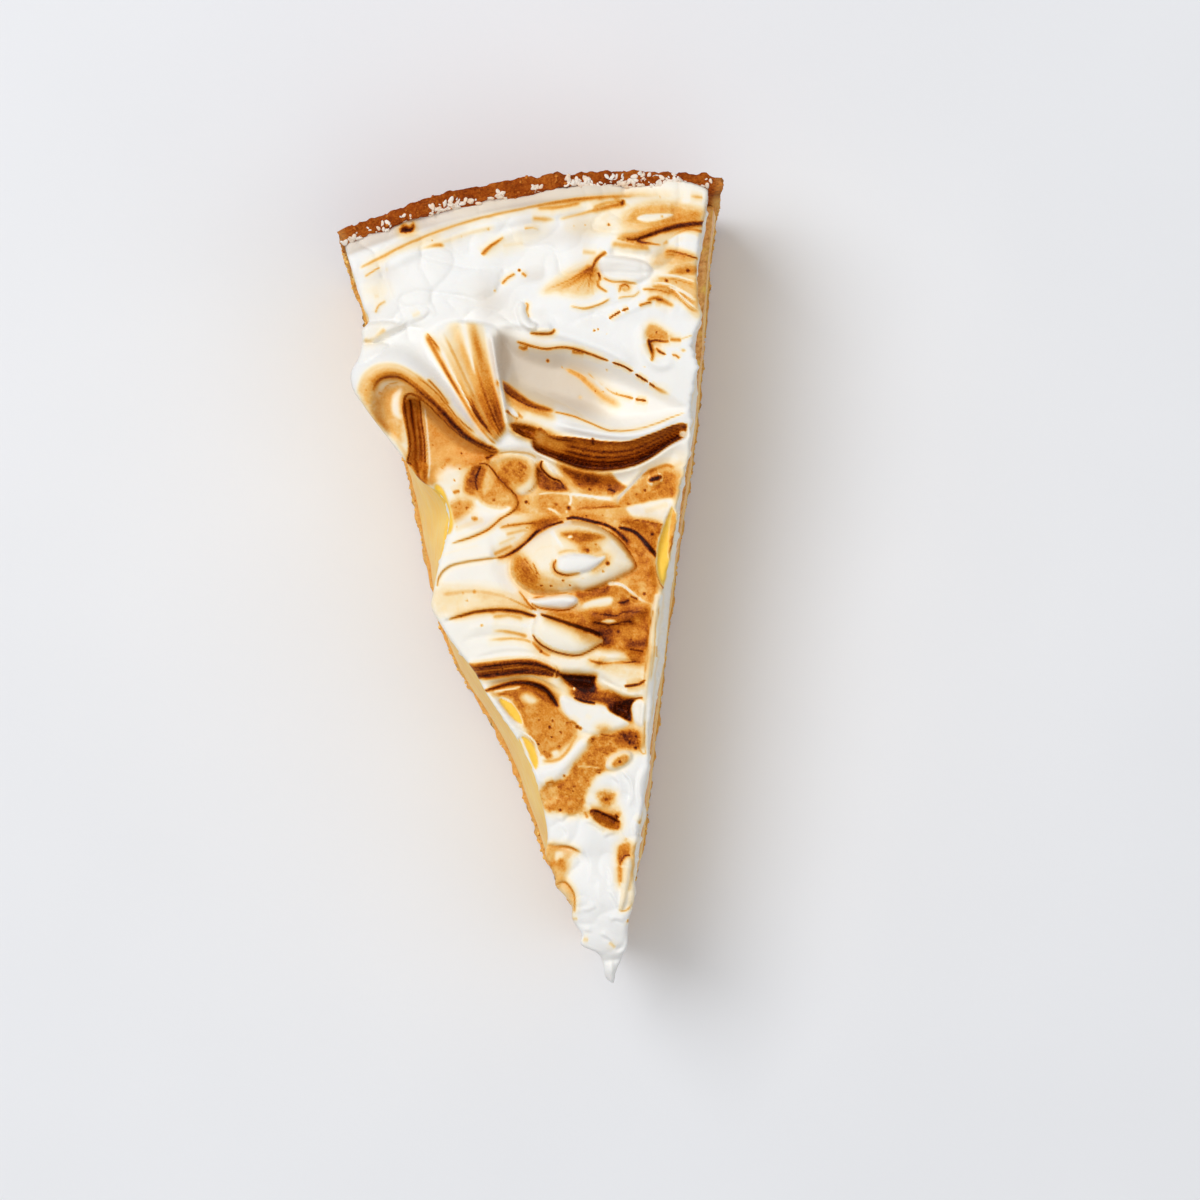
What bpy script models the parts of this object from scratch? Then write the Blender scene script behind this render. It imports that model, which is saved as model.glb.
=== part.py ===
"""A slice of lemon meringue pie: a shortcrust shell, a layer of lemon filling and a torched meringue topping.

The slice is modelled with its point at y = 0 and the rim of the pie at +Y, standing on z = 0. At the end the whole
slice hangs on one empty that puts the middle of its footprint at the origin.
"""

import math

import bmesh
import bpy
import numpy as np

MM = 0.001

# The shell: one sheet of pastry that lies flat, turns up at the back and ends in the rim.
DISH_RADIUS = 115 * MM
RIM_Y = 129.8 * MM
RIM_MIDDLE_X = 4 * MM
ROUND_FROM_Y = 90 * MM
RIM_HEIGHT = 36.0 * MM
RIM_LEAN = math.radians(7)
RIM_WAVE, RIM_WAVE_DEPTH = 0.35 * MM, 4 * MM
CRUST_THICKNESS = 3.2 * MM
CORNER_RADIUS = 4.0 * MM
CRUST_TIP_Y = 4.5 * MM
CRUST_TIP_LENGTH = 16.5 * MM
CRUST_SIDEWAYS, FLOOR_ROWS, CORNER_ROWS, WALL_ROWS = 30, 30, 5, 5

# The two cut sides seen from above, as half widths at the point and growth for each metre of length.
LEFT_START, LEFT_GROWTH, LEFT_LEAN = 4.6 * MM, 0.2185, 0.036
RIGHT_START, RIGHT_GROWTH = 2.97 * MM, 0.2253
RIGHT_SWELL_Y, RIGHT_SWELL, RIGHT_SWELL_SPREAD = 88 * MM, 0.9 * MM, 20 * MM
SLUMP_Y, SLUMP = 57 * MM, 4.2 * MM
SLUMP_TO_TIP, SLUMP_TO_RIM = 13 * MM, 27 * MM

# The filling lies in the shell, a touching gap away from the pastry, and swells at its cut sides.
GAP = 0.3 * MM
FLOOR_TOP = CRUST_THICKNESS + GAP
FILLING_TOP = 24.5 * MM
FILLING_INSET = 0.7 * MM
FILLING_SWELL = 0.6 * MM
FILLING_COLUMNS, FILLING_ROWS, FILLING_LAYERS = 20, 50, 4
# How far the filling's left face leans in at its top, as (y, distance) in millimetres.
BARE_LEDGE = ((5, 0), (18, 0.4), (26, 1.8), (45, 2.1), (63, 0.3), (79, 4.2), (91, 0.2), (127, 0.4))

# The meringue stands on the filling. Its edges as (y, half width) seen from above, in millimetres.
MERINGUE_BASE = FILLING_TOP + GAP
MERINGUE_LEFT = (
    (0, 0.3), (5, 1.9), (11, 4.9), (20, 8.0), (28, 7.8), (37, 9.6), (52, 16.4), (64, 22.0), (78, 18.2),
    (88, 24.4), (101, 30.9), (109.5, 27.5), (126, 30.6),
)
MERINGUE_RIGHT = ((0, 0.4), (5, 2.6), (13, 5.2), (26, 7.8), (50, 12.8), (80, 19.8), (104, 24.6), (126, 29.2))
MERINGUE_TIP_Y, MERINGUE_FOOT_Y = -0.3 * MM, 5 * MM
MERINGUE_FOOT_INSET = 0.2 * MM
EDGE_DROP, EDGE_SHARPNESS = 1.6 * MM, 10
LEVELS = ((0, 26.5), (4, 30), (12, 33.5), (30, 36), (60, 38), (105, 38.5), (119, 37), (126, 33.5))

# Spatula marks: (path of x, y points in mm, half width in mm, height in mm).
FOLDS = {
    "hook": (((-25, 89), (-28.5, 96.5), (-26, 102), (-20, 101), (-15, 95), (-9, 88)), 3.6, 5.4),
    "hook_hollow": (((-21.5, 95), (-21.5, 85)), 2.6, -5.0),
    "fan": (((-12, 107), (-10.5, 98), (-8.5, 90)), 3.4, 4.0),
    "scoop": (((-4, 101), (5, 97), (14, 93)), 4.6, -4.5),
    "scoop_lip": (((-3, 105), (8, 102), (17, 96.5)), 2.6, 1.8),
    "ribbon_lip": (((-5, 92), (4, 89.5), (12, 88), (20, 89.5)), 2.2, 3.0),
    "ribbon_foot": (((-6, 84), (3, 81), (12, 80), (19, 83)), 2.6, -2.5),
    "upper_flow": (((-20, 69), (-13, 70), (-8, 71.5)), 2.6, 2.4),
    "middle_flow": (((-21, 63), (-14, 63.5), (-8, 61.5)), 2.4, 2.6),
    "lower_flow": (((-18, 56), (-11, 57), (-7, 56)), 2.4, 1.6),
    "dark_trough": (((-16, 51), (-9, 51.5), (0, 48.5), (7, 44.5)), 1.8, -2.6),
    "white_bar": (((-8, 36), (-2, 39.5), (5, 43.5)), 2.0, 1.8),
    "brown_bar": (((-6, 31), (0, 34), (5, 38)), 2.6, 1.6),
    "tip_bulge": (((-1, 22), (0, 9)), 3.2, 2.0),
}
# Round lobes: (centre x, y, half length, half width in mm, turn in degrees, height in mm).
LOBES = {
    "disc": (2.5, 68.8, 9.0, 5.4, -8, 2.4),
    "leaf": (-1.2, 56.8, 5.4, 2.9, -22, 2.2),
    "bean": (-2.2, 61.9, 3.6, 1.5, -4, 1.4),
    "knoll": (17, 103, 5, 4.5, 0, 1.6),
}
SIDEWAYS, LENGTHWAYS, LAYERS = 36, 80, 3
FLAT = 0.001 * MM

CRUST_COLOUR = (0.62, 0.28, 0.07, 1)
FILLING_COLOUR = (0.93, 0.68, 0.16, 1)
MERINGUE_COLOUR = (0.95, 0.92, 0.86, 1)


def material(name, colour, roughness):
    made = bpy.data.materials.new(name)
    made.use_nodes = True
    shader = made.node_tree.nodes["Principled BSDF"]
    shader.inputs["Base Color"].default_value = colour
    shader.inputs["Roughness"].default_value = roughness
    shader.inputs["Metallic"].default_value = 0
    return made


def smooth_step(value):
    value = np.clip(value, 0, 1)
    return value * value * (3 - 2 * value)


def through(knots, at):
    """A smooth curve through (position, value) knots in millimetres, read at positions in metres."""
    where = np.array([k[0] for k in knots]) * MM
    value = np.array([k[1] for k in knots]) * MM
    slope = np.gradient(value, where)
    i = np.clip(np.searchsorted(where, at) - 1, 0, len(where) - 2)
    step = where[i + 1] - where[i]
    t = np.clip((at - where[i]) / step, 0, 1)
    start = value[i] + step * slope[i] * t * (1 - t) ** 2
    return start + (value[i + 1] - value[i]) * t * t * (3 - 2 * t) - step * slope[i + 1] * t * t * (1 - t)


def slump(y):
    """How far the left cut side has swollen out past a straight cut."""
    spread = np.where(y < SLUMP_Y, SLUMP_TO_TIP, SLUMP_TO_RIM)
    return SLUMP * np.exp(-(((y - SLUMP_Y) / spread) ** 2))


def cut_sides(y, z=0.0, inset=0.0):
    """(left, right) x of the cut sides of the shell at a height, or of a layer that lies inset from them."""
    left = -(LEFT_START + LEFT_GROWTH * y + slump(y)) + LEFT_LEAN * z + inset
    swell = RIGHT_SWELL * np.exp(-(((y - RIGHT_SWELL_Y) / RIGHT_SWELL_SPREAD) ** 2))
    right = RIGHT_START + RIGHT_GROWTH * y + swell - inset
    point = np.sin(np.pi / 2 * np.clip((y - CRUST_TIP_Y) / CRUST_TIP_LENGTH, 0.002, 1)) ** 0.8
    middle = (left + right) / 2
    return middle + (left - middle) * point, middle + (right - middle) * point


def rim_bow(x):
    """How much nearer the point the round rim lies at x than at its middle."""
    return DISH_RADIUS - np.sqrt(DISH_RADIUS**2 - (x - RIM_MIDDLE_X) ** 2)


def bowed(y, round_here, sides, across):
    """(x, y) of places across the slice in rows that bow with the rim, where sides(y) gives the left and right x."""
    x = np.zeros(np.broadcast_shapes(np.shape(y), np.shape(across)))
    for _ in range(4):
        left, right = sides(y - rim_bow(x) * round_here)
        x = left + across * (right - left)
    return x, y - rim_bow(x) * round_here


def filling_sides(y, z):
    """(left, right) x of the filling's cut faces: they swell a little and the left one leans in at its top."""
    up = (z - FLOOR_TOP) / (FILLING_TOP - FLOOR_TOP)
    left, right = cut_sides(y, z, FILLING_INSET)
    swell = FILLING_SWELL * np.sin(np.pi * up)
    return left + through(BARE_LEDGE, y) * up**1.3 - swell, right + swell


def inner_wall(z):
    """y of the inside of the shell's wall at height z and at the middle of the slice."""
    top = RIM_Y - CRUST_THICKNESS / math.cos(RIM_LEAN)
    straight = top - (RIM_HEIGHT - z) * math.tan(RIM_LEAN)
    above_floor = np.clip((z - CRUST_THICKNESS) / CORNER_RADIUS, 0, 1)
    return straight - CORNER_RADIUS * (1 - np.sqrt(1 - (1 - above_floor) ** 2))


def block(name, columns, rows, layers, flat_heights, place):
    """A cube cut into columns, rows and layers, whose points place(across, along, up) moves, each from 0 to 1.

    Its faces at the flat heights are joined into one face each.
    """
    solid = bmesh.new()
    bmesh.ops.create_cube(solid, size=1)
    for axis, pieces in enumerate((columns, rows, layers)):
        normal = tuple(float(axis == i) for i in range(3))
        for step in range(1, pieces):
            cut_at = tuple(n * (step / pieces - 0.5) for n in normal)
            everything = list(solid.verts) + list(solid.edges) + list(solid.faces)
            bmesh.ops.bisect_plane(solid, geom=everything, plane_co=cut_at, plane_no=normal)
    spots = np.array([v.co for v in solid.verts]) + 0.5
    for vertex, point in zip(solid.verts, np.stack(place(*spots.T), 1)):
        vertex.co = point
    for height in flat_heights:
        level = [v for v in solid.verts if abs(v.co.z - height) < FLAT]
        bmesh.ops.dissolve_limit(solid, angle_limit=math.radians(1), verts=level, edges=[])
    mesh = bpy.data.meshes.new(name)
    solid.to_mesh(mesh)
    solid.free()
    return bpy.data.objects.new(name, mesh)


def finish(obj, look):
    obj.data.materials.append(look)
    obj.data.shade_smooth()
    obj.data.set_sharp_from_angle(angle=math.radians(40))
    collection.objects.link(obj)
    obj.parent = slice_centre
    return obj


def make_crust(look):
    """The inside face of the shell as one bent sheet, thickened outwards."""
    floor_end = float(inner_wall(CRUST_THICKNESS))
    corner = np.linspace(0, math.pi / 2 - RIM_LEAN, CORNER_ROWS + 1)
    corner_z = CRUST_THICKNESS + CORNER_RADIUS * (1 - np.cos(corner))
    wall_z = np.linspace(corner_z[-1], RIM_HEIGHT, WALL_ROWS + 1)
    up_z = np.concatenate([corner_z, wall_z[1:]])
    floor_y = np.linspace(CRUST_TIP_Y, floor_end, FLOOR_ROWS + 1)[:-1]
    path_y = np.concatenate([floor_y, inner_wall(up_z)])
    path_z = np.concatenate([np.full(FLOOR_ROWS, CRUST_THICKNESS), up_z])
    rows = len(path_y) - 1

    crust_sheet = bmesh.new()
    bmesh.ops.create_grid(crust_sheet, x_segments=CRUST_SIDEWAYS, y_segments=rows, size=0.5)
    for vertex in crust_sheet.verts:
        across, row = vertex.co.x + 0.5, round((vertex.co.y + 0.5) * rows)
        y, z = path_y[row], path_z[row]
        round_here = smooth_step((y - ROUND_FROM_Y) / (floor_end - ROUND_FROM_Y))
        x, y = (float(v) for v in bowed(y, round_here, lambda at: cut_sides(at, z), across))
        waves = math.sin(x * 1900) + 0.7 * math.sin(x * 3170 + 1) + 0.5 * math.sin(x * 5230 + 2)
        near_top = smooth_step((z - RIM_HEIGHT) / RIM_WAVE_DEPTH + 1)
        vertex.co = (x, y, z + RIM_WAVE * waves * near_top)
    mesh = bpy.data.meshes.new("crust")
    crust_sheet.to_mesh(mesh)
    crust_sheet.free()
    crust = bpy.data.objects.new("crust", mesh)
    pastry = crust.modifiers.new("pastry", "SOLIDIFY")
    pastry.thickness = CRUST_THICKNESS
    pastry.offset = -1
    pastry.use_even_offset = True
    flats = crust.modifiers.new("flats", "DECIMATE")
    flats.decimate_type = "DISSOLVE"
    flats.angle_limit = math.radians(0.5)
    return finish(crust, look)


def make_filling(look):
    """A block that fills the shell up to its level and swells a little at the cut sides."""

    def place(across, along, up):
        z = FLOOR_TOP + up * (FILLING_TOP - FLOOR_TOP)
        back = inner_wall(z) - GAP * 1.5
        front = CRUST_TIP_Y + FILLING_INSET * 2
        y = front + along * (back - front)
        round_here = smooth_step((y - ROUND_FROM_Y) / (RIM_Y - CRUST_THICKNESS - ROUND_FROM_Y))
        x, y = bowed(y, np.maximum(round_here, along**8), lambda at: filling_sides(at, z), across)
        return x, y, z

    flats = (FLOOR_TOP, FILLING_TOP)
    return finish(block("lemon_filling", FILLING_COLUMNS, FILLING_ROWS, FILLING_LAYERS, flats, place), look)


def nearest_on(path, x, y):
    """Distance of each point from a bent line, and how far along the line (0 to 1) its nearest spot lies."""
    knots = np.array(path) * MM
    best, share = np.full(x.shape, 1e9), np.zeros(x.shape)
    for i, (start, end) in enumerate(zip(knots[:-1], knots[1:])):
        run = end - start
        t = np.clip(((x - start[0]) * run[0] + (y - start[1]) * run[1]) / (run @ run), 0, 1)
        away = np.hypot(x - start[0] - t * run[0], y - start[1] - t * run[1])
        nearer = away < best
        best = np.where(nearer, away, best)
        share = np.where(nearer, (i + t) / (len(knots) - 1), share)
    return best, share


def meringue_height(x, y):
    """The height of the meringue's top: its level along the slice, with every spatula mark and lobe on it."""
    z = through(LEVELS, y)
    for path, width, height in FOLDS.values():
        away, _ = nearest_on(path, x, y)
        z = z + height * MM * np.exp(-((away / (width * MM)) ** 2))
    for centre_x, centre_y, half_length, half_width, turn, height in LOBES.values():
        c, s = math.cos(math.radians(turn)), math.sin(math.radians(turn))
        dx, dy = x / MM - centre_x, y / MM - centre_y
        reach = np.hypot((dx * c + dy * s) / half_length, (dy * c - dx * s) / half_width)
        z = z + height * MM * smooth_step((1.25 - reach) / 0.5)
    return z


def make_meringue(look):
    """The topping: its foot lies on the filling, and its top carries the spatula marks."""
    back_of_foot = float(inner_wall(MERINGUE_BASE)) - GAP
    back_height = LEVELS[-1][1] * MM

    def place(across, along, up):
        back_of_top = back_of_foot + (back_height - MERINGUE_BASE) * math.tan(RIM_LEAN)
        y_top = MERINGUE_TIP_Y + along * (back_of_top - MERINGUE_TIP_Y)
        y_foot = MERINGUE_FOOT_Y + along * (back_of_foot - MERINGUE_FOOT_Y)
        y = y_foot + up * (y_top - y_foot)
        round_here = smooth_step((y - ROUND_FROM_Y) / (back_of_foot - ROUND_FROM_Y))

        def sides(at):
            left, right = -through(MERINGUE_LEFT, at), through(MERINGUE_RIGHT, at)
            foot_left, foot_right = filling_sides(at + (y_foot - y), FILLING_TOP)
            foot_left = np.maximum(foot_left + MERINGUE_FOOT_INSET, left)
            foot_right = foot_right - MERINGUE_FOOT_INSET
            share = np.minimum(up * 1.6, 1)
            return foot_left + share * (left - foot_left), foot_right + share * (right - foot_right)

        x, y = bowed(y, round_here, sides, across)
        top = meringue_height(x, y) - EDGE_DROP * np.abs(2 * across - 1) ** EDGE_SHARPNESS
        return x, y, MERINGUE_BASE + up * (top - MERINGUE_BASE)

    return finish(block("meringue", SIDEWAYS, LENGTHWAYS, LAYERS, (MERINGUE_BASE,), place), look)


def centre_footprint(objects):
    """Moves the empty that carries the slice so that the middle of the slice's outline lies over the origin."""
    bpy.context.view_layer.update()
    graph = bpy.context.evaluated_depsgraph_get()
    spots = np.array([v.co[:2] for o in objects for v in o.evaluated_get(graph).data.vertices])
    middle = (spots.min(0) + spots.max(0)) / 2
    slice_centre.location = (-middle[0], -middle[1], 0)


for leftover in list(bpy.data.objects):
    bpy.data.objects.remove(leftover)
collection = bpy.data.collections.new("lemon_meringue_pie_slice")
bpy.context.scene.collection.children.link(collection)
slice_centre = bpy.data.objects.new("slice_centre", None)
collection.objects.link(slice_centre)
pieces = [
    make_crust(material("baked_shortcrust", CRUST_COLOUR, 0.85)),
    make_filling(material("lemon_curd", FILLING_COLOUR, 0.25)),
    make_meringue(material("torched_meringue", MERINGUE_COLOUR, 0.4)),
]
centre_footprint(pieces)
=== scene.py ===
"""A slice of lemon meringue pie: a shortcrust shell, a lemon filling and a torched meringue topping."""

import math

import bpy
import numpy as np
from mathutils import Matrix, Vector


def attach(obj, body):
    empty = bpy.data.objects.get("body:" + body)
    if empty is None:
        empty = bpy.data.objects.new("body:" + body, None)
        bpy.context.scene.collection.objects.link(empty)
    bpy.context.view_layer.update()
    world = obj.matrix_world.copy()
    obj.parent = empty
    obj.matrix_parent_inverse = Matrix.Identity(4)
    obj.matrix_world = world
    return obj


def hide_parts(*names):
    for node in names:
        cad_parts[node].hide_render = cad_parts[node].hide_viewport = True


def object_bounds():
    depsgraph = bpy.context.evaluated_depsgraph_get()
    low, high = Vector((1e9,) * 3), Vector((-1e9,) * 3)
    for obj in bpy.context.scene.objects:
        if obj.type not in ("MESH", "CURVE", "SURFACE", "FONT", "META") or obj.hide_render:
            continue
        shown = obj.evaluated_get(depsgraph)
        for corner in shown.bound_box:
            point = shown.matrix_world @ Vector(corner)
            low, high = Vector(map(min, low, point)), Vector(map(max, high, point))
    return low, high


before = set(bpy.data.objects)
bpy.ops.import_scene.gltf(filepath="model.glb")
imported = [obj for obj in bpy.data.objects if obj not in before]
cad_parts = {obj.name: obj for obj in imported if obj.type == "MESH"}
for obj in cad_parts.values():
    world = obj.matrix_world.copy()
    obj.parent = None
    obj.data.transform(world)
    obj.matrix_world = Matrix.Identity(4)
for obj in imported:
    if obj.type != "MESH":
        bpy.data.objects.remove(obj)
cad_low, cad_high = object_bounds()

# =============================================================================
# The shell: shortcrust pastry about 3 mm thick, pressed into a round dish, baked dark at its rim and cut
# with a knife. It is one folded sheet of floor, corner and leaning wall, with crumbly pale cut edges.

MM = 0.001
CRUST_LEFT_OF_POINT = 31.02
DISH_RADIUS, RIM_MIDDLE_X, RIM_Y, RIM_HEIGHT = 115, 4, 129.8, 36.0
RIM_LEAN, ROUND_FROM_Y = math.radians(7), 90
FLOOR_THICKNESS, RIM_THICKNESS, CORNER_RADIUS, RIM_ROUNDING = 3.2, 2.5, 4.0, 0.8
CRUST_TIP_Y, CRUST_TIP_LENGTH = 4.5, 16.5
CRUST_ACROSS, CRUST_THROUGH = 150, 6

slice_x = cad_low.x / MM + CRUST_LEFT_OF_POINT
slice_y = cad_low.y / MM + 0.3
random_table = np.random.default_rng(7).uniform(-1, 1, (32, 32, 32))


def ease(value):
    value = np.clip(value, 0, 1)
    return value * value * (3 - 2 * value)


def grain(u, v, w=0.5):
    """Smooth random values from -1 to 1, each bump about one unit across."""
    place = np.stack(np.broadcast_arrays(u, v, w)).astype(float)
    cell = np.floor(place).astype(int)
    part = ease(place - cell)
    total = np.zeros(place.shape[1:])
    for corner in np.ndindex(2, 2, 2):
        share = 1
        for axis in range(3):
            share = share * (part[axis] if corner[axis] else 1 - part[axis])
        i, j, k = ((cell[axis] + corner[axis]) % 32 for axis in range(3))
        total += share * random_table[i, j, k]
    return total


def through(knots, at):
    """A smooth curve through (position, value) knots, read at any positions."""
    where, value = np.array(knots, float).T
    slope = np.gradient(value, where)
    i = np.clip(np.searchsorted(where, at) - 1, 0, len(where) - 2)
    step = where[i + 1] - where[i]
    t = np.clip((at - where[i]) / step, 0, 1)
    start = value[i] + step * slope[i] * t * (1 - t) ** 2
    return start + (value[i + 1] - value[i]) * t * t * (3 - 2 * t) - step * slope[i + 1] * t * t * (1 - t)


def rim_bow(x):
    """How much nearer the point the round rim lies at x than at its middle."""
    return DISH_RADIUS - np.sqrt(DISH_RADIUS**2 - (x - RIM_MIDDLE_X) ** 2)


def bowed(y, sides, across):
    """x and y of a place that lies across the slice (0 left, 1 right) in a row that bows with the rim."""
    bow = ease((y - ROUND_FROM_Y) / 28)
    x = np.zeros(np.broadcast_shapes(np.shape(y), np.shape(across)))
    for _ in range(4):
        left, right = sides(y - rim_bow(x) * bow)
        x = left + across * (right - left)
    return x, y - rim_bow(x) * bow


def slump(y):
    """How far the left cut side has swollen out past a straight cut."""
    return 4.2 * np.exp(-(((y - 57) / np.where(y < 57, 13, 27)) ** 2))


def cut_sides(y, z=0.0, inset=0.0):
    """x of the left and right cut sides of the shell at length y and height z."""
    left = -(4.6 + 0.2185 * y + slump(y)) + 0.036 * z + inset
    right = 2.97 + 0.2253 * y + 0.9 * np.exp(-(((y - 88) / 20) ** 2)) - inset
    point = np.sin(np.pi / 2 * np.clip((y - CRUST_TIP_Y) / CRUST_TIP_LENGTH, 0.002, 1)) ** 0.8
    middle = (left + right) / 2
    return middle + (left - middle) * point, middle + (right - middle) * point


def inner_wall(z):
    """y of the inside of the shell's wall at height z and at the middle of the slice."""
    top = RIM_Y - RIM_THICKNESS / math.cos(RIM_LEAN)
    straight = top - (RIM_HEIGHT - z) * math.tan(RIM_LEAN)
    above_floor = np.clip((z - FLOOR_THICKNESS) / CORNER_RADIUS, 0, 1)
    return straight - CORNER_RADIUS * (1 - np.sqrt(1 - (1 - above_floor) ** 2))


def box_skin(*cells):
    """The outside of a grid of cells: the places of its points, from 0 to 1 each way, and its faces."""
    number = np.full([count + 1 for count in cells], -1)
    outside = np.zeros(number.shape, bool)
    outside[[0, -1]] = True
    outside[:, [0, -1]] = True
    outside[:, :, [0, -1]] = True
    number[outside] = np.arange(outside.sum())
    faces = []
    for axis in range(3):
        for end in (0, -1):
            sheet = np.take(number, end, axis=axis)
            around = [sheet[:-1, :-1], sheet[1:, :-1], sheet[1:, 1:], sheet[:-1, 1:]]
            quads = np.stack(around, -1).reshape(-1, 4)
            faces.append(quads[:, ::-1] if (end == 0) != (axis == 1) else quads)
    return (np.argwhere(outside) / cells).T, np.vstack(faces)


def make_piece(name, places, faces, attributes=None):
    """An object at the origin with its points at places in the slice's own millimetres, shaded smooth."""
    x, y, z = places
    points = np.stack([x + slice_x, y + slice_y, z], 1) * MM
    mesh = bpy.data.meshes.new(name)
    mesh.from_pydata(points, [], faces.tolist() if isinstance(faces, np.ndarray) else faces)
    for label, values in (attributes or {}).items():
        mesh.attributes.new(label, "FLOAT", "POINT").data.foreach_set("value", values.astype(np.float32))
    mesh.shade_smooth()
    made = bpy.data.objects.new(name, mesh)
    bpy.context.scene.collection.objects.link(made)
    return made


class Value:
    """An output of a node in a finish. Arithmetic on it adds Math nodes."""

    def __init__(self, finish, socket):
        self.finish = finish
        self.socket = socket

    def maths(self, operation, *others, clamp=False):
        settings = {"operation": operation, "use_clamp": clamp}
        return self.finish.node("ShaderNodeMath", settings, dict(enumerate((self, *others))))

    def __add__(self, other):
        return self.maths("ADD", other)

    def __sub__(self, other):
        return self.maths("SUBTRACT", other)

    def __rsub__(self, other):
        return self.maths("MULTIPLY_ADD", -1, other)

    def __mul__(self, other):
        return self.maths("MULTIPLY", other)

    __radd__ = __add__
    __rmul__ = __mul__

    def clipped(self):
        return self.maths("ADD", 0, clamp=True)

    def between(self, low, high):
        """0 below low, 1 above high, and a smooth rise between them."""
        spread = {"interpolation_type": "SMOOTHSTEP"}
        ends = {"Value": self, "From Min": low, "From Max": high}
        return self.finish.node("ShaderNodeMapRange", spread, ends)


class Finish:
    """A procedural material of this slice."""

    def __init__(self, name):
        self.material = bpy.data.materials.new(name)
        self.material.use_nodes = True
        self.tree = self.material.node_tree
        self.tree.nodes.clear()
        self.place = self.node("ShaderNodeTexCoord", output="Object")

    def node(self, kind, settings=None, sockets=None, output=0):
        """Adds a node: its settings first, then a value or a link for each socket named or numbered."""
        made = self.tree.nodes.new(kind)
        for key, value in (settings or {}).items():
            if key == "stops":
                ramp = made.color_ramp
                for _ in value[2:]:
                    ramp.elements.new(0.5)
                for element, (position, colour) in zip(ramp.elements, value):
                    element.position = position
                    element.color = (*colour, 1)
            else:
                setattr(made, key, value)
        for key, value in (sockets or {}).items():
            if isinstance(value, Value):
                self.tree.links.new(value.socket, made.inputs[key])
            else:
                made.inputs[key].default_value = value
        return Value(self, made.outputs[output])

    def noise(self, size, detail=2.0, rough=0.5, stretch=(1, 1, 1), wander=0.0):
        """Noise whose bumps are about size millimetres across, from 0 to 1."""
        scaled = self.node("ShaderNodeMapping", None, {"Vector": self.place, "Scale": stretch})
        values = {"Vector": scaled, "Scale": 1 / (size * MM), "Detail": detail, "Roughness": rough,
            "Distortion": wander}
        return self.node("ShaderNodeTexNoise", None, values)

    def attribute(self, name):
        return self.node("ShaderNodeAttribute", {"attribute_name": name}, output="Fac")

    def ramp(self, value, *stops):
        return self.node("ShaderNodeValToRGB", {"stops": stops}, {"Fac": value}, output="Color")

    def mix(self, share, first, second):
        sockets = {"Factor": share, 6: first, 7: second}
        return self.node("ShaderNodeMix", {"data_type": "RGBA"}, sockets, output=2)

    def bump(self, height, depth, before=None):
        """The surface normal over bumps of up to depth millimetres."""
        sockets = {"Height": height, "Strength": 1.0, "Distance": depth * MM}
        if before:
            sockets["Normal"] = before
        return self.node("ShaderNodeBump", None, sockets)

    def surface(self, colour, rough, normal, ior=1.45, sheer=0.0, sheer_mm=0.4):
        """Ends the material with a shader; sheer is how much light sinks in, and sheer_mm how far."""
        sockets = {"Base Color": colour, "Roughness": rough, "Normal": normal, "IOR": ior,
            "Subsurface Weight": sheer, "Subsurface Radius": (1, 0.8, 0.6),
            "Subsurface Scale": sheer_mm * MM}
        shader = self.node("ShaderNodeBsdfPrincipled", None, sockets)
        output = self.tree.nodes.new("ShaderNodeOutputMaterial")
        self.tree.links.new(shader.socket, output.inputs["Surface"])
        return self.material


def linear(red, green, blue):
    """The working value of a colour given as 0 to 255 on a screen."""
    screen = (red, green, blue)
    return tuple((c / 255 / 12.92) if c < 11 else ((c / 255 + 0.055) / 1.055) ** 2.4 for c in screen)


def crust_path(along):
    """y, z of the middle of the pastry, its normal towards the filling and its thickness along its run."""
    floor_end = float(inner_wall(FLOOR_THICKNESS))
    middle_radius = CORNER_RADIUS + FLOOR_THICKNESS / 2
    turn_end = math.pi / 2 - RIM_LEAN
    wall_height = RIM_HEIGHT - FLOOR_THICKNESS - CORNER_RADIUS * (1 - math.cos(turn_end))
    wall_length = wall_height / math.cos(RIM_LEAN)
    lengths = np.cumsum([0, floor_end - CRUST_TIP_Y, middle_radius * turn_end, wall_length])
    run = along * lengths[-1]
    angle = np.clip((run - lengths[1]) / middle_radius, 0, turn_end)
    on_floor = np.minimum(run, lengths[1])
    on_wall = np.maximum(run - lengths[2], 0)
    y = CRUST_TIP_Y + on_floor + middle_radius * np.sin(angle) + on_wall * math.sin(RIM_LEAN)
    z = FLOOR_THICKNESS / 2 + middle_radius * (1 - np.cos(angle)) + on_wall * math.cos(RIM_LEAN)
    thickness = FLOOR_THICKNESS + (RIM_THICKNESS - FLOOR_THICKNESS) * ease(on_wall / wall_length)
    to_top = lengths[-1] - run
    rounding = np.sqrt(1 - np.clip(1 - to_top / RIM_ROUNDING, 0, 0.97) ** 2)
    outward = (FLOOR_THICKNESS - thickness) / 2
    return y + outward * np.sin(angle), z, -np.sin(angle), np.cos(angle), thickness * rounding


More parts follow.
